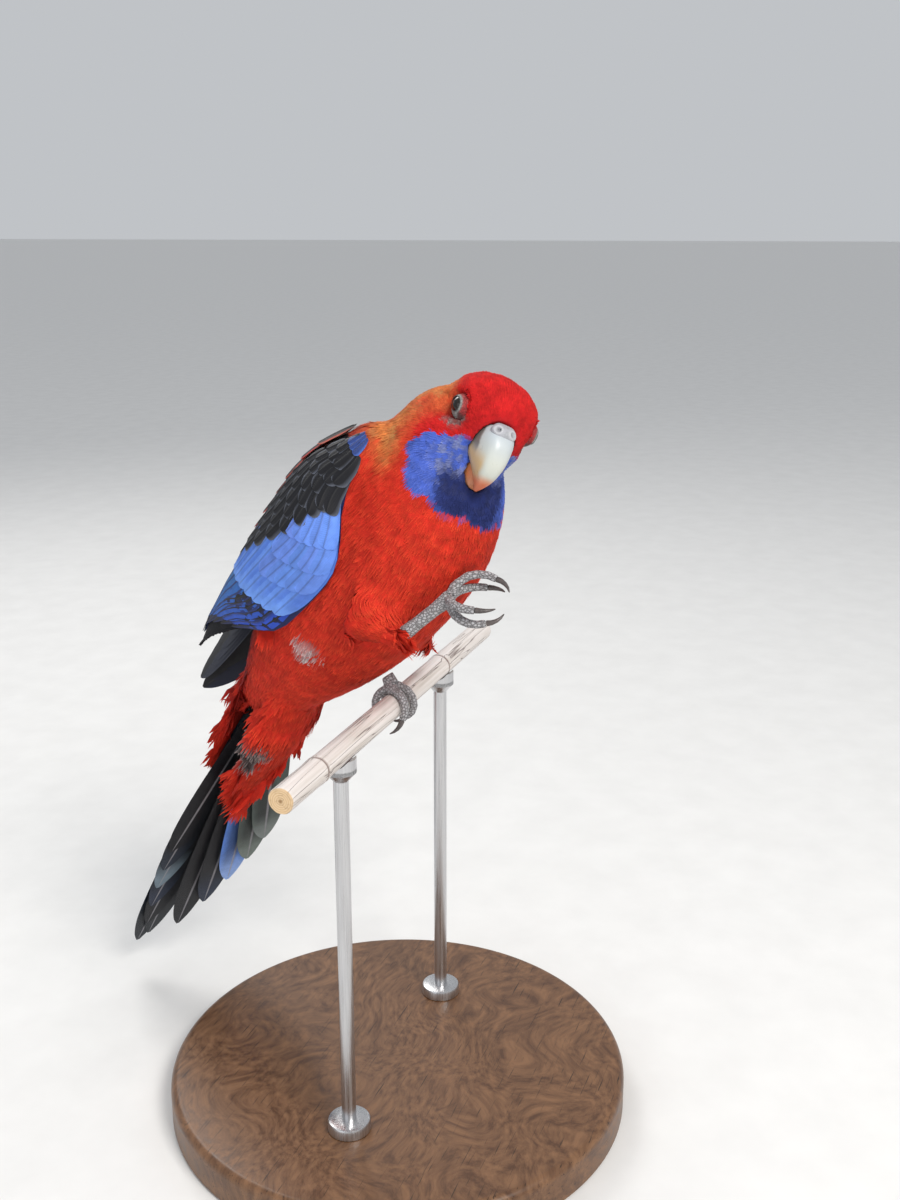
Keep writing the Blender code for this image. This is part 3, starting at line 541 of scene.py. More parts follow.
def feather_mesh(name, position, triangles, tints, vanes, uv, material, slot):
    """A joined mesh of feathers with its tints, vane places and OFBake map."""
    mesh = bpy.data.meshes.new(name)
    mesh.vertices.add(len(position))
    mesh.vertices.foreach_set("co", flat(position))
    mesh.loops.add(triangles.size)
    mesh.loops.foreach_set("vertex_index", flat(triangles, np.int32))
    mesh.polygons.add(len(triangles))
    mesh.polygons.foreach_set("loop_start", np.arange(0, triangles.size, 3, dtype=np.int32))
    mesh.update(calc_edges=True)
    put_tints(mesh, tints)
    mesh.attributes.new("vane", "FLOAT_VECTOR", "POINT").data.foreach_set("vector", flat(vanes))
    mesh.uv_layers.new(name="OFBake").data.foreach_set("uv", flat(uv[triangles.ravel()]))
    return put_item(link(name, mesh), material, slot)


# ---------- skin

FLESH = ("trunk", "neck", "head", "thigh_left", "thigh_right", "wing_left", "wing_right",
         "tail_coverts_upper", "tail_coverts_under")
THIGHS, WINGS, COVERTS = (3, 4), (5, 6), (7, 8)


def joined(*names):
    """Solids in one raw mesh, its search tree, and which of the solids each face belongs to."""
    maker = bmesh.new()
    owners = []
    for k, name in enumerate(names):
        before = len(maker.faces)
        maker.from_mesh(nodes[name].data)
        owners += [k] * (len(maker.faces) - before)
    mesh = bpy.data.meshes.new("joined")
    maker.to_mesh(mesh)
    tree = BVHTree.FromBMesh(maker)
    maker.free()
    return mesh, tree, np.array(owners)


def region_of(points):
    """Index in FLESH of the nearest flesh solid, for each point."""
    return FLESH_OWNER[nearest(FLESH_TREE, points)[2]]


def eye_frames():
    """For each eye: centre in the world, outward, forward and upward axes."""
    frames = {}
    for name, side in (("eye_right", -1), ("eye_left", 1)):
        low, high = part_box(name)
        outward = unit(side * axis_of(HEAD, 1) + EYE_TURN * axis_of(HEAD, 0))
        up, ahead = (unit(axis_of(HEAD, k) - outward * (axis_of(HEAD, k) @ outward)) for k in (2, 0))
        frames[name] = (np.array((low + high) / 2), outward, ahead, up)
    return frames


def coat_depth(points):
    """How deep the skin lies under the plumage, mm."""
    h = local(HEAD, points)
    on_head = 1 - smooth(17, 30, np.linalg.norm(h - np.array(SKULL_MIDDLE), axis=1))
    face = smooth(0, 12, h[:, 0]) * on_head
    return np.where(np.isin(region_of(points), WINGS), 1.3, 1.7 - 0.7 * on_head - 0.35 * face)


def build_skin():
    """One skin over all flesh, inside it by the coat's depth, with a dish round each eye."""
    mesh = remeshed("skin", FLESH_MESH, SKIN_SWELL, SKIN_VOXEL, SKIN_RELAX)
    points, normals = read_points(mesh)
    points -= normals * ((coat_depth(points) + SKIN_SWELL) * MM)[:, None]
    for centre, outward, _, _ in EYES.values():
        q = (points - centre) / MM
        height = q @ outward
        radial = np.linalg.norm(q - height[:, None] * outward, axis=1)
        near = (radial < 9) & (height > -2)
        wanted = DISH_HEIGHT + DISH_RISE * smooth(DISH_RADIUS, DISH_RIM, radial)
        drop = np.minimum(wanted - height, 0) * (1 - smooth(5.0, 8.0, radial)) * near
        points += outward * (drop * MM)[:, None]
    put_points(mesh, points)
    skin = link("skin", mesh)
    unwrap(skin)
    return skin


def unwrap(item):
    """OFBake map of the skin's own shape."""
    item.data.uv_layers.new(name="OFBake")
    bpy.context.view_layer.objects.active = item
    item.select_set(True)
    bpy.ops.object.mode_set(mode="EDIT")
    bpy.ops.mesh.select_all(action="SELECT")
    bpy.ops.uv.smart_project(angle_limit=1.15, island_margin=0.003)
    bpy.ops.object.mode_set(mode="OBJECT")
    item.select_set(False)


def face_centres_uv(mesh):
    """Middle of each of the skin's four-sided faces on its unwrap."""
    uv = np.empty(len(mesh.loops) * 2, np.float32)
    mesh.uv_layers["OFBake"].data.foreach_get("uv", uv)
    return uv.reshape(-1, 4, 2).mean(1)


EYES = eye_frames()
FLESH_MESH, FLESH_TREE, FLESH_OWNER = joined(*FLESH)
SKIN = build_skin()
SKIN_TREE = BVHTree.FromPolygons([v.co for v in SKIN.data.vertices],
                                 [p.vertices for p in SKIN.data.polygons])
SKIN_UV = face_centres_uv(SKIN.data)
_, HARD_TREE, _ = joined("bill_upper", "bill_lower", "cere")


# ---------- markings and lie

def ripple(points, size, phase=0.0):
    """Smooth variation from -1 to 1 over points in mm, about size mm across."""
    x, y, z = (points[:, k] / size * 2.1 + phase for k in range(3))
    return (np.sin(x * 1.7 + np.sin(y * 1.3 + phase)) + np.sin(y * 1.9 + np.sin(z * 1.1))
            + np.sin(z * 1.6 + np.sin(x * 1.5 + 2 * phase))) / 3


def away_from(points, centre, size=1.0):
    """Distance from a centre, in mm or in sizes."""
    return np.linalg.norm((points - np.array(centre)) / np.array(size), axis=1)


def markings(points):
    """Plumage colour at world points: a feather's middle and its edge. Each patch has its bounds
    in mm in the head's frame (x, y, z) or the trunk's (t)."""
    h, t = local(HEAD, points), local(TRUNK, points)
    x, y, z = h.T
    wide = np.abs(y)
    folded = np.stack([x, wide, z], 1)
    mottle, fine = ripple(t, 6.0), ripple(t, 2.5, 1.0)
    tints = [mix(CRIMSON, DEEP_RED, 0.35 + 0.25 * mottle), mix(SCARLET, CRIMSON, 0.5 + 0.35 * fine)]

    def lay(share, middle, edge, middle_part=1.0, edge_part=1.0):
        """Blends the colours of a patch over those that are there."""
        tints[0] = mix(tints[0], middle, share * middle_part)
        tints[1] = mix(tints[1], edge, share * edge_part)

    belly = smooth(-4, -26, t[:, 2])
    lay(belly, tints[0], (0.80, 0.085, 0.030), 0.0, 0.35)
    lay(1 - smooth(19, 25, away_from(h, SKULL_MIDDLE)), CROWN, CROWN_EDGE)

    nape = smooth(2, -6, x + 0.4 * z) * smooth(7, 14, wide - 0.35 * x)
    nape *= smooth(-24, -14, z + 0.2 * x)
    nape *= smooth(30, 42, t[:, 0]) * smooth(9, 3, z) * (0.75 + 0.4 * mottle)
    lay(np.clip(nape, 0, 1), mix(ORANGE, OLIVE, 0.6 + 0.5 * fine), NAPE_EDGE, 0.8, 0.75)

    rise = 0.87 * z - 0.49 * x
    from_gape = away_from(folded, (13, 4, -9))
    cheek = smooth(0.8, -0.8, rise + 7.5 + 0.35 * (wide - 7.5) + 0.7 * fine)
    cheek *= smooth(-25.5, -24, rise + 0.8 * fine) * smooth(17.4, 16.2, from_gape + fine)
    # The throat is painted near-black navy: a deeper blue of its own, darkened further as painted shade
    # under the bill.
    throat = smooth(12, 8, wide) * smooth(-29, -26, rise + fine) * smooth(-10, -14, z)
    throat *= smooth(21.8, 19, from_gape)
    pale = smooth(-0.2, 0.4, ripple(h, 1.7, 0.7)) * smooth(9.0, 4.0, from_gape - 3.0)
    lay(smooth(0.35, 0.65, np.maximum(cheek, throat)),
        mix(mix(CHEEK, PALE_CHEEK, 0.5 * pale), NAVY, 0.95 * throat),
        mix(mix(CHEEK_EDGE, PALE_CHEEK_EDGE, 0.7 * pale), NAVY, 0.92 * throat))

    lores = smooth(1.2, 0.7, away_from(folded, (6.2, 12.3, -1.0), (4.2, 5.5, 2.7)) + 0.25 * fine)
    bare = mix(BARE_GREY, LORES_RED, smooth(-0.2, 0.6, ripple(h, 2.0, 2.2)))
    lay(lores, LORES, bare, 0.9, 0.9)

    back = smooth(10, 20, t[:, 2]) * smooth(46, 36, t[:, 0]) * smooth(-46, -38, t[:, 0])
    lay(back, BLACK, mix(BACK_EDGE, BACK_EDGE_BROWN, 0.4 + 0.4 * mottle), 0.97)
    lay(smooth(4, 12, t[:, 2]) * smooth(-40, -48, t[:, 0]), RUMP, RUMP_EDGE, 0.85)

    vent = away_from(t, (-88, -10, -16), (9, 8, 8))
    lay(smooth(1.2, 0.7, vent + 0.2 * fine), VENT, VENT_EDGE, 1.0, 0.9)
    flank = away_from(t, (-24.5, -22.5, -15.0), (5, 4.5, 4.5))
    lay(smooth(1.25, 0.55, flank + 0.25 * fine), FLANK_DOWN, FLANK_DOWN_EDGE, 0.9, 0.9)
    return tints


def lie_direction(points, normals):
    """Directions in which the feathers lie, on the surface; short where it faces the lie."""
    h, t = local(HEAD, points), local(TRUNK, points)
    head_flow = unit(h - np.array([15.0, 0.0, -3.0])) @ np.array(HEAD)[:3, :3].T
    side = np.sign(t[:, 1])[:, None] * axis_of(TRUNK, 1)
    inward = 0.10 * side * smooth(10, 28, np.abs(t[:, 1]))[:, None]
    share = smooth(17, 31, away_from(h, SKULL_MIDDLE))[:, None]
    flow = head_flow * (1 - share) + (-axis_of(TRUNK, 0) - inward) * share
    region = region_of(points)
    for thigh, ankle in zip(THIGHS, (ANKLES["left"], ANKLES["right"])):
        low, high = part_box(FLESH[thigh])
        target = world(GRIP, ankle)
        away = away_from(points, target) / MM
        target = target + unit(target - np.array((low + high) / 2)) * (14 * MM)
        pull = ((region == thigh) * smooth(30, 12, away) * 0.95)[:, None]
        flow = flow * (1 - pull) + unit(target - points) * pull
    flow = unit(flow)
    return flow - normals * (flow * normals).sum(1, keepdims=True)


# ---------- soft feathers

def soft_vane(side_locks, tip_locks):
    """A rounded vane that parts into locks of barbs at its rim: rows of along, across, rise,
    fray and edge share, with the lock each belongs to, and triangles. Along and across are in
    feather lengths and half widths."""
    rows, locks, triangles = [], [], []
    web = ((0.0, 0.30), (0.2, 0.58), (0.42, 0.74), (0.62, 0.72))
    for u, half in web:
        rows.extend(((u, -half, 0.0, 0.0, 0.2 * u), (u, 0.0, 0.06, 0.0, 0.0),
                     (u, half, 0.0, 0.0, 0.2 * u)))
        locks.extend((0, 0, 0))
    for r in range(len(web) - 1):
        for a in (3 * r, 3 * r + 1):
            triangles.extend(((a, a + 1, a + 4), (a, a + 4, a + 3)))

    def lock(root, bend, tip, root_half, bend_half, sideways):
        """A tapered lock from its root through its bend to its tip."""
        a, number = len(rows), max(locks) + 1
        for (u, v), half, share in ((root, root_half, 0.0), (bend, bend_half, 0.45)):
            du, dv = (half, 0.0) if sideways else (0.0, half)
            rows.append((u - du, v - dv, 0.01, share, 0.5 * share))
            rows.append((u + du, v + dv, 0.03, share, 0.5 * share))
        rows.append((*tip, 0.0, 1.0, 1.0))
        locks.extend([number] * 5)
        triangles.extend(((a, a + 1, a + 3), (a, a + 3, a + 2), (a + 2, a + 3, a + 4)))

    step = 0.60 / side_locks
    for j in range(side_locks):
        u = 0.06 + step * (j + 0.5)
        edge = 0.30 + 0.44 * smooth(0.0, 0.45, u)
        for side in (-1, 1):
            lock((u, side * edge * 0.85), (u + 0.13, side * (edge + 0.10)),
                 (u + 0.30, side * (edge + 0.20)), 0.7 * step, 0.5 * step, True)
    for j in range(tip_locks):
        v = -1 + 2 * (j + 0.5) / tip_locks
        reach = 1.04 - 0.22 * v * v
        lock((0.58, 0.70 * v), (0.58 + 0.55 * (reach - 0.58), 0.84 * v), (reach, 0.82 * v),
             0.85 / tip_locks, 0.62 / tip_locks, False)
    return np.array(rows), np.array(locks), np.array(triangles)


def march(roots, lengths, steps=4):
    """Centre lines that run from roots over the skin along the lie: points and normals. A line
    keeps its course where the skin falls away from it, and all along on a tail covert."""
    lines, ups = [], []
    points = roots.copy()
    stride = lengths / steps * MM
    stiff = np.isin(region_of(roots), COVERTS)
    for k in range(steps + 1):
        if k:
            points = points + flow * stride[:, None]
        surface, normals, _, _ = nearest(SKIN_TREE, points)
        gap = np.linalg.norm(surface - points, axis=1) / stride
        free = (np.maximum(smooth(0.35, 0.8, gap), stiff) * (k > 0))[:, None]
        points = surface * (1 - free) + points * free
        if k:
            normals = unit((normals + 0.6 * ups[-1]) * (1 - free) + ups[-1] * free)
        flow = lie_direction(points, normals)
        if k:
            before = unit(points - lines[-1])
            flow = (flow + 0.8 * before) * (1 - free) + before * free
        flow = unit(flow)
        lines.append(points)
        ups.append(normals)
    return np.array(lines).transpose(1, 0, 2), np.array(ups).transpose(1, 0, 2)


def grow_coat(name, roots, faces, length, width, parting, material):
    """Soft feathers over the skin, as joined meshes below the limit of triangles for a piece."""
    vane = soft_vane(*parting)
    per_piece = PIECE_TRIANGLES // len(vane[2])
    for part, start in enumerate(range(0, len(roots), per_piece)):
        pick = slice(start, start + per_piece)
        coat_piece(f"{name}_{part + 1}", roots[pick], faces[pick], length[pick], width[pick],
                   *vane, material)


def coat_piece(name, roots, faces, length, width, template, locks, triangles, material):
    """One joined mesh of soft feathers that bend with the skin and fray at the rim."""
    count, size = len(roots), len(template)
    t_along, t_across, t_rise, t_fray, t_edge = (column[None, :] for column in template.T)

    def per_lock():
        return rng.normal(0, 1, (count, locks.max() + 1))[:, locks]

    line, up = march(roots, length)
    steps = line.shape[1] - 1
    along = np.gradient(line, axis=1)
    sideways = unit(np.cross(up, along))
    turn = rng.normal(0, 0.10, (count, 1))
    u = np.clip(t_along + 0.06 * t_fray * per_lock(), 0, 1.12)
    v = t_across + 0.10 * t_fray * per_lock()
    place = np.clip(u, 0, 0.999) * steps
    low = place.astype(int)
    share = (place - low)[..., None]
    row = np.arange(count)[:, None]

    def at(values):
        """Values along the centre line, at each vertex of each feather."""
        return values[row, low] * (1 - share) + values[row, low + 1] * share

    centre = at(line)
    centre += (np.maximum(u - 0.999, 0) * length[:, None] * MM)[..., None] * unit(along[:, -1:, :])
    across = (v + 1.6 * turn * u) * (width[:, None] / 2)
    rough = 0.05 * per_lock()
    lift = (COAT_LIFT + COAT_LIFT_SLOPE * length)[:, None]
    height = (COAT_SINK + lift * u ** 1.15 + t_rise
              - across ** 2 / np.maximum(4.2 * width[:, None], 8.0) + rough * t_fray)
    position = (centre + unit(at(sideways)) * (across * MM)[..., None]
                + unit(at(up)) * (height * MM)[..., None])

    middle, edge = (tint[:, None, :] for tint in markings(roots))
    shade = 1 + 0.06 * rng.normal(0, 1, (count, 1, 1)) + 0.06 * per_lock()[..., None]
    rim = t_edge[..., None]
    tint = np.clip((middle * (1 - rim) + edge * rim) * shade, 0.002, 1)
    vane = np.stack([u * length[:, None], across, np.zeros_like(u)], -1)
    uv = np.repeat(SKIN_UV[faces], size, axis=0) + np.stack(
        [v.ravel() * PATCH_ACROSS, u.ravel() * PATCH_ALONG], 1)
    triangles = (triangles[None] + (np.arange(count) * size)[:, None, None]).reshape(-1, 3)
    feather_mesh(name, position.reshape(-1, 3), triangles, tint.reshape(-1, 3), vane, uv,
                 material, "plumage_crimson")


def scatter(spacing_of, allowed, tries):
    """Well spread roots over the skin: points, and the skin face that each stands on."""
    mesh = SKIN.data
    mesh.calc_loop_triangles()
    owner_face = np.array([t.polygon_index for t in mesh.loop_triangles])
    tri = read_points(mesh)[0][np.array([t.vertices[:] for t in mesh.loop_triangles])]
    area = np.linalg.norm(np.cross(tri[:, 1] - tri[:, 0], tri[:, 2] - tri[:, 0]), axis=1)
    centre = tri.mean(1)
    weight = area * allowed(centre) / spacing_of(centre) ** 2
    chosen = rng.choice(len(tri), tries, p=weight / weight.sum())
    a, b = rng.random((2, tries, 1))
    flip = a + b > 1
    a, b = np.where(flip, 1 - a, a), np.where(flip, 1 - b, b)
    points = tri[chosen, 0] * (1 - a - b) + tri[chosen, 1] * a + tri[chosen, 2] * b
    spacing = spacing_of(points) * MM
    keys = np.floor(points / spacing.max()).astype(int)
    around = [(i, j, k) for i in (-1, 0, 1) for j in (-1, 0, 1) for k in (-1, 0, 1)]
    grid, taken = {}, []

    def is_clear(index):
        """No root that is already there stands nearer than this one's spacing."""
        x, y, z = keys[index]
        for i, j, k in around:
            for other in grid.get((x + i, y + j, z + k), ()):
                d = points[other] - points[index]
                if d @ d < spacing[index] * spacing[index]:
                    return False
        return True

    for index in range(tries):
        if is_clear(index):
            grid.setdefault(tuple(keys[index]), []).append(index)
            taken.append(index)
    return points[taken], owner_face[chosen[taken]]


def faces_the_lie(points):
    """Places that face the lie, which the feathers from before them cover."""
    _, normals, _, _ = nearest(SKIN_TREE, points)
    along = np.linalg.norm(lie_direction(points, normals), axis=1)
    region = region_of(points)
    on_thigh = np.isin(region, THIGHS)
    least = np.where(np.isin(region, COVERTS), COVERT_LEAST, BODY_LEAST)
    blunt = (along < least) & (normals @ axis_of(TRUNK, 0) < 0) & ~on_thigh
    return blunt | (along < np.where(on_thigh, THIGH_LEAST, ANY_LEAST))


def clear_of_face(points):
    """Away from the bill, the cere and the bare ring round each eye."""
    ok = nearest(HARD_TREE, points)[3] > HARD_GAP * MM
    for centre, outward, ahead, up in EYES.values():
        q = (points - centre) / MM
        ring = np.hypot((q @ ahead) / 1.12, q @ up)
        ok &= ~((ring < BARE_RING) & (q @ outward > -1))
    return ok


def body_size(points):
    """Feather length over the body and head, mm."""
    h, t = local(HEAD, points), local(TRUNK, points)
    from_bill = away_from(h, (13.0, 0.0, -4.0))
    size = 2.0 + 3.2 * smooth(3, 20, from_bill) + 3.0 * smooth(16, 34, from_bill)
    size = size + 2.3 * smooth(40, 10, t[:, 0])
    size = size + 3.0 * smooth(-45, -80, t[:, 0])
    for centre, _, _, _ in EYES.values():
        away = away_from(points, centre) / MM
        size = np.minimum(size, 1.9 + 0.40 * np.maximum(away - 4.5, 0))
    size = np.where(np.isin(region_of(points), THIGHS), np.minimum(size, THIGH_FEATHER), size)
    for ankle in ANKLES.values():
        away = away_from(points, world(GRIP, ankle)) / MM
        size = np.where(away < ANKLE_REACH, ANKLE_FEATHER, size)
    return size


def build_coats(paint):
    """Soft plumage of the head, body, thighs and tail coverts."""
    def on_body(points):
        bend = local(TRUNK, points)[:, 0] > WING_BEND
        ok = ~np.isin(region_of(points), WINGS) | bend
        return ok & clear_of_face(points) & ~faces_the_lie(points)

    quick = 1.0
    slope = COAT_SPACING_SLOPE / math.sqrt(quick)
    points, faces = scatter(lambda p: COAT_SPACING + slope * body_size(p), on_body,
                            int(COAT_TRIES * quick))
    size = body_size(points)
    small = size < SMALL_FEATHER
    for name, mask, parting in (("coat_head", small, SMALL_LOCKS), ("coat_body", ~small, LARGE_LOCKS)):
        length = size[mask] * 1.06 * (1 + 0.08 * rng.normal(0, 1, mask.sum()))
        width = length * np.where(length < BROAD_BELOW, BROAD_VANE, NARROW_VANE)
        grow_coat(name, points[mask], faces[mask], length, width, parting, paint["plumage"])


# ---------- firm feathers

ACROSS = (-1, -0.8, -0.55, -0.3, -0.1, -0.035, 0.035, 0.1, 0.3, 0.55, 0.8, 1)
SHAFT_HALF, BLADE_ARCH = 0.05, 0.04


def vane_grid(us, halves, scale=1.0):
    """A closed-web feather: rows of along, across, shaft share and distance from the shaft, and
    its triangles."""
    rows = [(u, v * max(half, 0.02) * scale, float(abs(v) < SHAFT_HALF), abs(v))
            for u, half in zip(us, halves) for v in ACROSS]
    count = len(ACROSS)
    faces = []
    for r in range(len(us) - 1):
        for a in range(r * count, (r + 1) * count - 1):
            faces += [(a, a + 1, a + count + 1), (a, a + count + 1, a + count)]
    return np.array(rows), np.array(faces)


def firm_vane(steps, tip_from, tip_power, root_half):
    """A covert or inner flight feather: it widens from its root and rounds off at its tip."""
    curve = np.sin(np.linspace(0, math.pi / 2, steps - steps // 2))
    us = np.concatenate([np.linspace(0, tip_from, steps // 2, endpoint=False),
                         tip_from + (1 - tip_from) * curve])
    halves = root_half + (1 - root_half) * np.minimum(1.0, us / 0.35) ** 0.7
    tip = np.clip((us - tip_from) / (1 - tip_from), 0.0, 1.0)
    return vane_grid(us, halves * (1 - tip ** tip_power) ** 0.5)


ROUND_VANE = firm_vane(14, 0.72, 2.2, 0.45)
POINT_VANE = firm_vane(16, 0.62, 1.5, 0.40)
LONG_VANE = vane_grid(*zip(*spline(((0.0, 0.35), (0.15, 0.66), (0.4, 0.92), (0.65, 1.0),
                                    (0.85, 0.86), (0.95, 0.5), (1.0, 0.08)), 4)), 0.97)


class FirmPiece:
    """Gathers closed-web feathers of one piece and makes its mesh."""

    def __init__(self, name, slot, material):
        self.name, self.slot, self.material = name, slot, material
        self.vertices, self.triangles, self.tints, self.vanes, self.uvs = [], [], [], [], []
        self.count = 0

    def add(self, template, points, length, width, colours):
        """One feather: its template, its vertices in the world, its size in mm and its colours."""
        rows, faces = template
        tint, vane = painted(rows, length, width, *colours)
        face = SKIN_TREE.find_nearest(Vector(points[0]))[2]
        aside = FIRM_PATCH_ASIDE * (len(self.uvs) % 7)
        self.uvs.append(SKIN_UV[face] + np.stack([rows[:, 1] * PATCH_ACROSS + aside,
                                                  rows[:, 0] * FIRM_PATCH_ALONG], 1))
        self.vertices.append(points)
        self.triangles.append(faces + self.count)
        self.tints.append(tint)
        self.vanes.append(vane)
        self.count += len(points)

    def make(self, *stands_for):
        item = feather_mesh(self.name, *(np.concatenate(values) for values in (
            self.vertices, self.triangles, self.tints, self.vanes, self.uvs)), self.material, self.slot)
        if stands_for:
            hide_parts(*stands_for)


def painted(rows, length, width, middle, edge, outer=None, tip=None, low_side=-1, quill=None):
    """Tints over one closed-web feather: middle, edge, an outer web of its own, and a tip."""
    u, v, shaft, away = rows.T
    tint = mix(middle, edge, smooth(0.62, 0.95, away) * smooth(0.0, 0.25, u))
    if outer is not None:
        tint = mix(tint, outer, smooth(0.02, 0.25, v * low_side / np.abs(v).max()))
    if tip is not None:
        tint = mix(tint, tip, smooth(0.80, 0.97, u))
    if quill is None:
        quill = np.asarray(middle) * 0.5 + 0.02
    tint = mix(tint, quill, 0.7 * shaft)
    vane = np.stack([u * length, v * width / 2, shaft], 1)
    return tint * (1 + 0.05 * rng.normal()), vane


# ---------- wings

WING_TABLE = np.array(spline(WING_STATIONS, 8))[::-1]


def wing_section(x):
    """Centre height, radius, lower and back edge angles and thickness at a place on the wing."""
    return (np.interp(x, WING_TABLE[:, 0], WING_TABLE[:, k]) for k in range(1, 6))


def wing_point(side, x, share, rise):
    """Points over a folded wing's outer face: place along the trunk and share from the lower edge
    to the back edge, with a height above the face, all in mm in the trunk's frame."""
    cz, radius, low, high, thick = wing_section(x)
    angle = np.radians(low + (high - low) * share)
    body = np.sin(np.pi * (0.8 * np.clip(share, 0, 1)) ** 0.9) ** 0.8
    reach = radius + 0.3 + WING_EDGE + (thick - WING_EDGE) * body + rise
    return np.stack([x, side * reach * np.cos(angle), cz + reach * np.sin(angle)], -1)


def wing_feather(piece, side, template, start, end, width, rises, colours, bow=0.0, cup=0.35):
    """A feather over the folded wing, from (x, share) to (x, share), in mm."""
    u, v, shaft, _ = template[0].T
    x0, s0, x1, s1 = *start, *end
    _, radius, low, high, thick = wing_section(0.5 * (x0 + x1))
    span = np.radians(high - low) * (radius + 0.6 * thick)
    length = math.hypot(x1 - x0, (s1 - s0) * span)
    dx, dy = (x1 - x0) / length, (s1 - s0) * span / length
    across = v * width / 2 + bow * np.sin(np.pi * u)
    x = x0 + dx * u * length + dy * across
    share = s0 + (dy * u * length - dx * across) / span
    rise = rises[0] + (rises[1] - rises[0]) * u - cup * (v ** 2) + 0.18 * shaft
    points = world(TRUNK, wing_point(side, x, share, rise))
    piece.add(template, points, length, width, colours)


def flight_feathers():
    """Outer primaries along the wing's lower edge, then secondaries, lowest first."""
    for k in range(6):
        yield (POINT_VANE, (24 - 2 * k, 0.02 + 0.02 * k), (-50 - 5.5 * k, 0.10 + 0.09 * k), 8.5,
               (-1.5 + 0.12 * k, -1.0 + 0.1 * k), (BLACK, (0.012, 0.014, 0.05), NAVY), -1.0)
    for k in range(9):
        s = k / 8
        yield (ROUND_VANE, (6 - 4 * k, 0.12 + 0.085 * k), (-48 - 4.2 * k, 0.14 + 0.092 * k), 10.0,
               (-1.3 + 0.1 * k, -1.0 + 0.15 * k),
               (mix(BLACK, COBALT, 0.35), mix(COBALT, TEAL, s), mix(COBALT, TEAL, 0.7 * s)), -1.2, 0.10)


def blue_coverts():
    """Greater coverts, which deepen to the back edge, then rows of shorter ones below."""
    for k in range(11):
        pale = mix(CORNFLOWER, (0.045, 0.16, 0.56), smooth(0.35, 1.0, k / 10))
        colours = (pale, pale * 1.08, mix(pale, COBALT, 0.35), mix(pale, (0.2, 0.4, 0.9), 0.4))
        yield (ROUND_VANE, (22 - 3.2 * k, 0.04 + 0.075 * k), (-26 - 1.4 * k, 0.08 + 0.080 * k),
               9.5, (-0.7 + 0.05 * k, -0.2 + 0.05 * k), colours, -1.0)
    for row in range(3):
        for k in range(5):
            pale = mix(CORNFLOWER, (0.16, 0.22, 0.70), 0.5 * rng.random())
            yield (ROUND_VANE, (24 - 8 * row - 2 * k, 0.03 + 0.055 * k),
                   (8 - 10 * row - 1.5 * k, 0.05 + 0.065 * k), 7.5, (-0.4, 0.15),
                   (pale * 0.9, pale * 1.15, pale))


def shoulder_coverts():
    """Rows of black coverts down to the blue ones, and three blue ones at the wing's bend."""
    for row in range(6):
        for k in range(12):
            s = 0.03 + 0.074 * k + 0.03 * (row % 2)
            x1 = 17 - 54 * smooth(0.05, 0.8, s) + 7.5 * row
            x0 = x1 + 12 - 1.1 * row
            if x0 <= 41:
                yield (ROUND_VANE, (x0, s), (x1, s + 0.03), 6.4 - 0.4 * row,
                       (-0.3 + 0.05 * row, 0.35), (BLACK, (0.10, 0.11, 0.14)))
    for k in range(3):
        yield (ROUND_VANE, (39.5, 0.10 + 0.10 * k), (34.5, 0.13 + 0.10 * k), 2.8, (-0.3, 0.4),
               ((0.025, 0.05, 0.20), (0.06, 0.14, 0.48)))


def scapulars():
    """Black feathers with red or brown edges, where the wing meets the back."""
    for row in range(6):
        for k in range(4):
            s = 0.74 + 0.075 * k + 0.03 * (row % 2)
            x0 = 36 - 8.5 * row - 2 * k
            edge = mix(CRIMSON, (0.5, 0.12, 0.06), rng.random() * 0.6)
            yield ROUND_VANE, (x0, s), (x0 - 14, s - 0.02), 7.0, (-0.1, 0.8), (BLACK, edge)


def build_wing(name, side, paint):
    """The folded wing's layers, each over the one before it."""
    for layer, slot, feathers in (("flight", "wing_blue", flight_feathers()),
                                  ("coverts", "wing_blue", blue_coverts()),
                                  ("shoulder", "wing_blue", shoulder_coverts()),
                                  ("scapulars", "plumage_crimson", scapulars())):
        piece = FirmPiece(f"wing_{name}_{layer}", slot, paint["vane"])
        for feather in feathers:
            wing_feather(piece, side, *feather)
        piece.make()


def blade_feather(piece, matrix, length, width, angle, lean, root, colours, before=Matrix.Identity(3)):
    """A long flight or tail feather in its frame's XY plane, turned before it is rooted."""
    u, v, shaft, _ = LONG_VANE[0].T
    y = v * width / 2
    points = np.stack([u * length, y, BLADE_ARCH * (shaft - np.abs(y))], 1)
    swing = np.array(Matrix.Rotation(math.radians(angle), 3, "Z")
                     @ Matrix.Rotation(math.radians(lean), 3, "Y"))
    points = points @ swing.T @ np.array(before).T + np.array(root)
    piece.add(LONG_VANE, world(matrix, points), length, width, colours)


def build_primaries(name, side, wrist, tip, paint):
    """The primaries that stand out behind the wing."""
    along = Vector(tip) - Vector(wrist)
    rise = math.radians(WING_OUTWARD_RISE)
    outward = Vector((0, side * math.cos(rise), math.sin(rise)))
    matrix = TRUNK @ axes_matrix(wrist, along, along.cross(outward) * -side)
    piece = FirmPiece(f"wing_{name}_primaries", "flight_black", paint["vane"])
    turn = Matrix.Rotation(math.radians(90), 3, "X")
    for k, length in enumerate(PRIMARY_LENGTHS):
        root = (PRIMARY_ROOT, -side * (PRIMARY_LAYER * k - PRIMARY_DEPTH),
                PRIMARY_ROOT_HEIGHT + PRIMARY_STEP * k)
        reach = length - PRIMARY_ROOT
        swing = math.degrees(math.atan2(PRIMARY_TIP_STEP * k - root[2], reach))
        blade_feather(piece, matrix, reach * 0.995, PRIMARY_WIDTH, swing,
                      side * PRIMARY_LEAN * (k + 1), root,
                      (BLACK, (0.02, 0.02, 0.025), (0.009, 0.012, 0.03)), before=turn)
    piece.make("primaries_" + name)


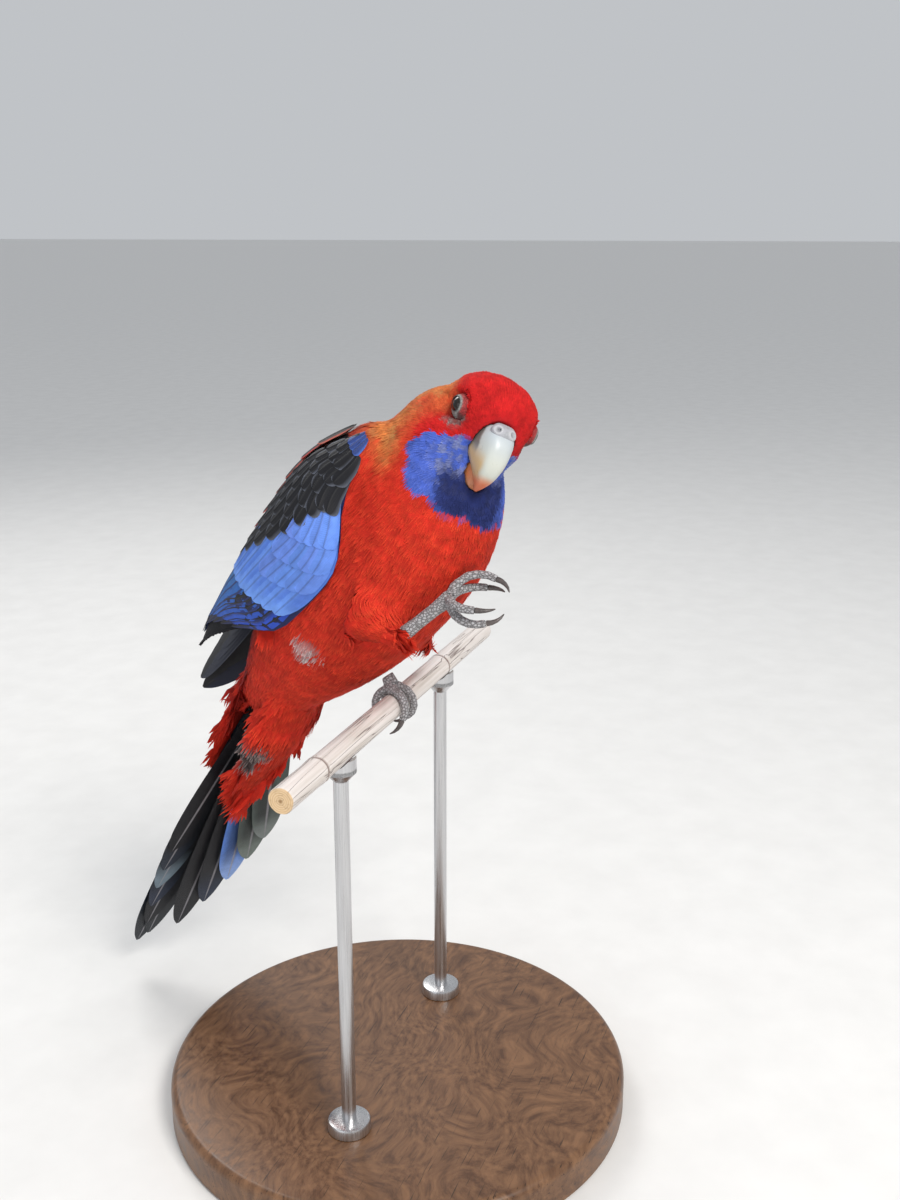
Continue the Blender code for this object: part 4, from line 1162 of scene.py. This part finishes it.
def build_tail(paint):
    """Twelve tail feathers: the middle pair over two graduated sides."""
    droop, swing = math.radians(TAIL_DROOP), math.radians(TAIL_SWING)
    back = Vector((-math.cos(droop), 0, math.sin(droop)))
    back.rotate(Matrix.Rotation(swing, 3, "Z"))
    matrix = TRUNK @ axes_matrix(TAIL_ROOT, back, (0, 0, 1))
    piece = FirmPiece("tail_middle_feathers", "tail_dark", paint["vane"])
    for k, (length, angle) in enumerate(zip(CENTRE_LENGTHS, (0.7, -0.7))):
        blade_feather(piece, matrix, length - TAIL_START, TAIL_FEATHER_WIDTH, angle, 0.0,
                      (TAIL_START, 0, -TAIL_LAYER * k - 0.3),
                      (BLACK, (0.010, 0.020, 0.035), None, (0.02, 0.024, 0.03), -1, PALE_QUILL))
    piece.make("tail_middle")
    for name, sign, spread, height, roof in TAIL_SIDES:
        piece = FirmPiece(f"tail_{name}_feathers", "tail_blue", paint["vane"])
        for k, length in enumerate(SIDE_LENGTHS):
            share = (k + 1) / len(SIDE_LENGTHS)
            web, end = TAIL_WEBS[name][k]
            blade_feather(piece, matrix, length - TAIL_START,
                          TAIL_FEATHER_WIDTH * (1 - 0.12 * share), sign * spread * share,
                          roof * share, (TAIL_START, 0, height - TAIL_LAYER * k - 0.35),
                          (mix(BLACK, web, 0.35), web, web, end, sign, PALE_QUILL))
        piece.make("tail_" + name)


# ---------- bill, cere and eyes

def build_upper_bill(material):
    """Hooked upper bill: pale horn that turns orange and red at its tip and underneath."""
    angles = math.pi * np.arange(40) / 39
    rise, side = np.sin(angles) ** 0.85, rounded(np.cos(angles), 0.62)
    rings = [world(HEAD, np.stack([edge_x + (ridge_x - edge_x) * rise, half * side,
                                   edge_z + (ridge_z - edge_z) * rise], 1))
             for ridge_x, ridge_z, edge_x, edge_z, half in spline(BILL_SECTIONS, 8)]
    item = loft("bill_upper_horn", rings, material, "bill_horn", "bill_upper")
    x, _, z = local(HEAD, read_points(item.data)[0]).T
    ridge = np.array(BILL_SECTIONS)[::-1]
    behind = np.interp(z, ridge[:, 1], ridge[:, 0]) - x
    tone = mix((0.56, 0.58, 0.53), (0.44, 0.49, 0.54), smooth(-4, 4, z))
    for colour, share in (
            ((0.62, 0.40, 0.17), smooth(0.6, 2.4, behind) * smooth(-1, -6, z)),
            ((0.60, 0.36, 0.16), smooth(-7, -11, z) * 0.85),
            ((0.66, 0.12, 0.03), smooth(-7.5, -11.5, z + 0.5 * behind) * 0.95),
            # painted shade: a dark band along the bill's rear edge, where it meets the face
            ((0.10, 0.08, 0.08), smooth(6.4, 7.4, behind) * smooth(-6, -2, z))):
        tone = mix(tone, colour, share)
    put_tints(item.data, tone)


def build_lower_bill(material):
    """Short lower bill under the upper one's edge, yellow with a red tip."""
    edge = np.array(BILL_SECTIONS)
    angles = ring_angles(32)
    across, up = rounded(np.cos(angles), 0.8), rounded(np.sin(angles), 0.8)
    rings = []
    for x, half, bottom in spline(LOWER_BILL_SECTIONS, 6):
        top = np.interp(x, edge[:, 2], edge[:, 3]) - 0.4
        low = min(bottom, top - 1.0)
        rings.append(world(HEAD, np.stack([np.full_like(up, x), half * across,
                                           (top + low) / 2 + (top - low) / 2 * up], 1)))
    item = loft("bill_lower_horn", rings, material, "bill_horn", "bill_lower")
    x = local(HEAD, read_points(item.data)[0])[:, 0]
    put_tints(item.data, mix((0.58, 0.38, 0.16), (0.60, 0.17, 0.05), smooth(6, 13, x)))


def build_cere():
    """Soft swollen skin over the bill's root, with two nostrils."""
    low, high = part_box("cere")
    centre = local(HEAD, np.array([(low + high) / 2]))
    turn = np.array(Matrix.Rotation(math.radians(CERE_PITCH), 3, "Y"))
    mesh = bpy.data.meshes.new("cere_skin")
    maker = bmesh.new()
    bmesh.ops.create_uvsphere(maker, u_segments=72, v_segments=40, radius=1.0)
    maker.to_mesh(mesh)
    maker.free()
    ball, _ = read_points(mesh)
    lobes = 1 + 0.16 * bell(np.abs(ball[:, 1]) - 0.55, 0.28) * np.maximum(ball[:, 2], 0)
    q = ball * np.array(CERE_RADII) * lobes[:, None]
    hole = away_from(np.stack([q[:, 0], np.abs(q[:, 1]), q[:, 2]], 1), NOSTRIL_AT)
    q = q * (1 + 0.05 * bell(hole - 1.25, 0.4) - 0.38 * bell(hole, 0.75))[:, None]
    put_points(mesh, world(HEAD, q @ turn.T + centre))
    item = put_item(link("cere_skin", mesh), cere_material(), "cere_skin", "cere")
    tone = mix((0.30, 0.31, 0.33), (0.50, 0.50, 0.52), bell(hole - 1.3, 0.5))
    # Painted shade: the nostrils' shallow dents are painted near black, as if they were deep holes.
    put_tints(item.data, mix(tone, (0.012,) * 3, np.exp(-(hole / 0.85) ** 4)))


def eye_ring(name, height, radius, angles):
    """A ring round an eye's axis, in the world, from heights and radii in mm."""
    centre, outward, ahead, up = EYES[name]
    return centre + MM * (np.outer(height, outward) + np.outer(radius * np.cos(angles), ahead)
                          + np.outer(radius * np.sin(angles), up))


def build_eyeball(name, material):
    """A dark ball with a swollen cornea, a brown iris and a black pupil."""
    angles = ring_angles(48)
    polar = math.pi * np.arange(33) / 32
    radius = EYE_RADIUS + 0.16 * bell(polar, 0.55)
    rings = [eye_ring(name, np.full(48, r * math.cos(p)), r * math.sin(p), angles)
             for r, p in zip(radius, polar)]
    item = loft(name + "_ball", rings, material, "eye_dark", name)
    degrees = np.degrees(polar)
    tone = mix((0.013, 0.007, 0.004), (0.002,) * 3, 1 - smooth(17, 20, degrees))
    tone = mix(tone, (0.006, 0.005, 0.005), smooth(40, 46, degrees))
    put_tints(item.data, np.repeat(tone, 48, axis=0))


def build_lids(name, material):
    """The ring of lids and bare skin round an eye's opening, which blends into the plumage."""
    angles = ring_angles(72)
    below = np.maximum(-np.sin(angles + 0.5), 0.0)
    rings, lash, feathered = [], [], []
    for rho, height, oval in LID_PROFILE:
        reach = rho * (1 + oval * 0.13 * np.cos(2 * angles))
        reach = reach * (1 + 0.24 * smooth(2.8, 3.6, rho) * below)
        grain = 0.05 * np.sin(36 * angles + 3 * rho) * (2.4 < rho < 3.8)
        rings.append(eye_ring(name, height + grain, reach, angles))
        lash.append(np.full(72, smooth(2.75, 2.55, rho)))
        feathered.append(smooth(2.95 + 1.0 * below, 3.3 + 1.2 * below, rho))
    item = loft(name.replace("eye", "eyelids"), rings, material, "cere_skin", closed_ends=False)
    plume, _ = markings(np.concatenate(rings))
    tone = mix(BARE_GREY, (0.03, 0.028, 0.03), np.concatenate(lash))
    put_tints(item.data, mix(tone, plume, np.concatenate(feathered) * 0.9))


def build_head():
    """Bill, cere and eyes, each a piece of its own."""
    horn = bill_material()
    build_upper_bill(horn)
    build_lower_bill(horn)
    build_cere()
    glass, bare = eye_material(), lid_material()
    for name in EYES:
        build_eyeball(name, glass)
        build_lids(name, bare)


# ---------- feet

def build_feet():
    """Scaled feet and smooth claws, rounder than the solids but of the same size."""
    scales, horn = foot_material(), claw_material()
    for side in ("left", "right"):
        pieces = [("foot_" + side, "_scaled", 0.12, 0.32, 8, scales, "leg_scales")]
        pieces += [(f"claw_{side}_{k}", "_horn", 0.08, 0.14, 5, horn, "claw_horn") for k in range(1, 5)]
        for node, ending, swell, voxel, relax, material, slot in pieces:
            mesh = remeshed(node + ending, nodes[node].data.copy(), swell, voxel, relax)
            put_item(link(node + ending, mesh), material, slot, node)


# ---------- cane and stand

def build_cane():
    """The cut cane: slightly ridged, with a swollen joint at each node."""
    low, high = perch_low.x / MM, perch_high.x / MM
    profile = [(low, 0.93), (low + 0.6, 1.0)]
    for node in CANE_NODES:
        profile += [(node - 4.0, 1.0), (node - 1.0, 1.05), (node, 0.97), (node + 1.0, 1.06),
                    (node + 4.0, 1.0)]
    profile += [(high - 0.6, 1.0), (high, 0.93)]
    px, ps = zip(*profile)
    a = ring_angles(64)
    rings = []
    for x in sorted(set(np.round(np.concatenate([np.linspace(low, high, 150), px]), 3))):
        wobble = 1 - 0.012 * (1 + np.sin(3 * a + x * 0.03)) - 0.006 * (1 + np.sin(9 * a + 0.11 * x))
        r = CANE_RADIUS * np.interp(x, px, ps) * wobble * MM
        rings.append(np.stack([np.full(64, x * MM), r * np.cos(a), CANE_Z + r * np.sin(a)], 1))
    loft("perch_cane", rings, cane_material(), "cane", "perch", sharp=50)


def turned(name, x, sides, profile, material, slot, node):
    """A piece turned round an upright axis, through radii and heights in metres."""
    a = ring_angles(sides)
    rings = [np.stack([x + r * np.cos(a), r * np.sin(a), np.full(sides, z)], 1) for r, z in profile]
    loft(name, rings, material, slot, node, sharp=40)


def build_stand():
    """A turned wood base, and two steel rods that each end in a cup under the cane."""
    low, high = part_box("stand_base")
    radius, edge = (high.x - low.x) / 2, 0.003
    profile = [(radius - 0.001, low.z), (radius, low.z + 0.001)]
    profile += [(radius - edge + edge * math.cos(a), high.z - edge + edge * math.sin(a))
                for a in np.linspace(0, math.pi / 2, 9)]
    turned("stand_base_wood", 0.0, 160, profile, wood_material(), "base_wood", "stand_base")
    steel = steel_material()
    for name, x in (("stand_rod_near", -ROD_OFFSET), ("stand_rod_far", ROD_OFFSET)):
        low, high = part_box(name)
        foot, cup = low.z / MM, CANE_Z / MM - CANE_RADIUS - CUP_DEPTH
        profile = [(7.5, foot), (7.5, foot + 3.0), (7.2, foot + 3.7), (6.5, foot + 4.0),
                   (ROD_RADIUS, foot + 4.0), (ROD_RADIUS, cup - 3.0), (3.2, cup - 2.2),
                   (CUP_RADIUS, cup), (CUP_RADIUS, cup + 1.5)]
        turned(name + "_steel", x * MM, 48, np.array(profile) * MM, steel, "rod_steel", name)
        build_cup(name + "_steel_cup", x, cup, high.z / MM, steel)


def build_cup(name, x, low, high, material):
    """The two lips of a rod's cup, which hold the cane between them."""
    a = ring_angles(48)
    px, py = CUP_RADIUS * np.cos(a), CUP_RADIUS * np.sin(a)
    clear = np.maximum((CANE_RADIUS + 0.3) ** 2 - py * py, 0)
    seat = np.where(clear > 0, CANE_Z / MM - np.sqrt(clear), high).clip(low, high)
    rings = [(x + px, py, np.full(48, low)), (x + px, py, seat), (np.full(48, x), py, seat)]
    rings = [np.stack(ring, 1) * MM for ring in rings]
    loft(name, rings, material, "rod_steel", closed_ends=False, sharp=40)


# ---------- studio and camera

def build_studio():
    """A pale plain floor under soft light."""
    floor = bpy.data.meshes.new("floor")
    s = FLOOR_REACH
    floor.from_pydata([(-s, -s, 0), (s, -s, 0), (s, s, 0), (-s, s, 0)], [], [(0, 1, 2, 3)])
    floor.materials.append(floor_material())
    link("floor", floor)

    bpy.context.scene.view_settings.view_transform = "Standard"
    studio = bpy.data.worlds.new("studio")
    bpy.context.scene.world = studio
    studio.use_nodes = True
    background = studio.node_tree.nodes["Background"]
    background.inputs["Color"].default_value = (0.88, 0.91, 0.95, 1)
    background.inputs["Strength"].default_value = 0.60
    for name, place, size, power, tone in LAMPS:
        lamp = bpy.data.lights.new(name, "AREA")
        lamp.size, lamp.energy, lamp.color = size, power, tone
        light = link(name, lamp)
        light.location = place
        aim = Vector(LAMP_TARGET) - Vector(place)
        light.rotation_euler = aim.to_track_quat("-Z", "Y").to_euler()


def build_camera():
    """The camera looks down on the bird from its right and a little behind the cane's near end."""
    data = bpy.data.cameras.new("camera")
    data.sensor_fit = "VERTICAL"
    data.sensor_height, data.lens, data.clip_start = SENSOR, LENS, 0.01
    camera = link("camera", data)
    level = math.cos(CAMERA_PITCH)
    look = Vector((level * math.cos(CAMERA_HEADING), level * math.sin(CAMERA_HEADING),
                   math.sin(CAMERA_PITCH)))
    camera.location = GRIP @ Vector(CAMERA_AT)
    camera.rotation_euler = look.to_track_quat("-Z", "Y").to_euler()
    bpy.context.scene.camera = camera


# ---------- the model

def paint_skin():
    """The skin carries the coat's markings, and is black under the wings' feathers."""
    points, _ = read_points(SKIN.data)
    middle, _ = markings(points)
    middle[np.isin(region_of(points), WINGS)] = BLACK
    put_tints(SKIN.data, middle)
    put_item(SKIN, skin_material(), "plumage_crimson", *FLESH)


def main():
    paint = {"plumage": plumage_material("plumage", 0.8, 9.0, 0.18, 0.15),
             "vane": plumage_material("vane", 0.55, 11.0, 0.12, 0.25)}
    paint_skin()
    build_coats(paint)
    for name, side, _, _ in WINGS_AT:
        build_wing(name, side, paint)
    for wing in WINGS_AT:
        build_primaries(*wing, paint)
    build_tail(paint)
    build_head()
    build_feet()
    build_cane()
    build_stand()
    build_studio()
    build_camera()


main()
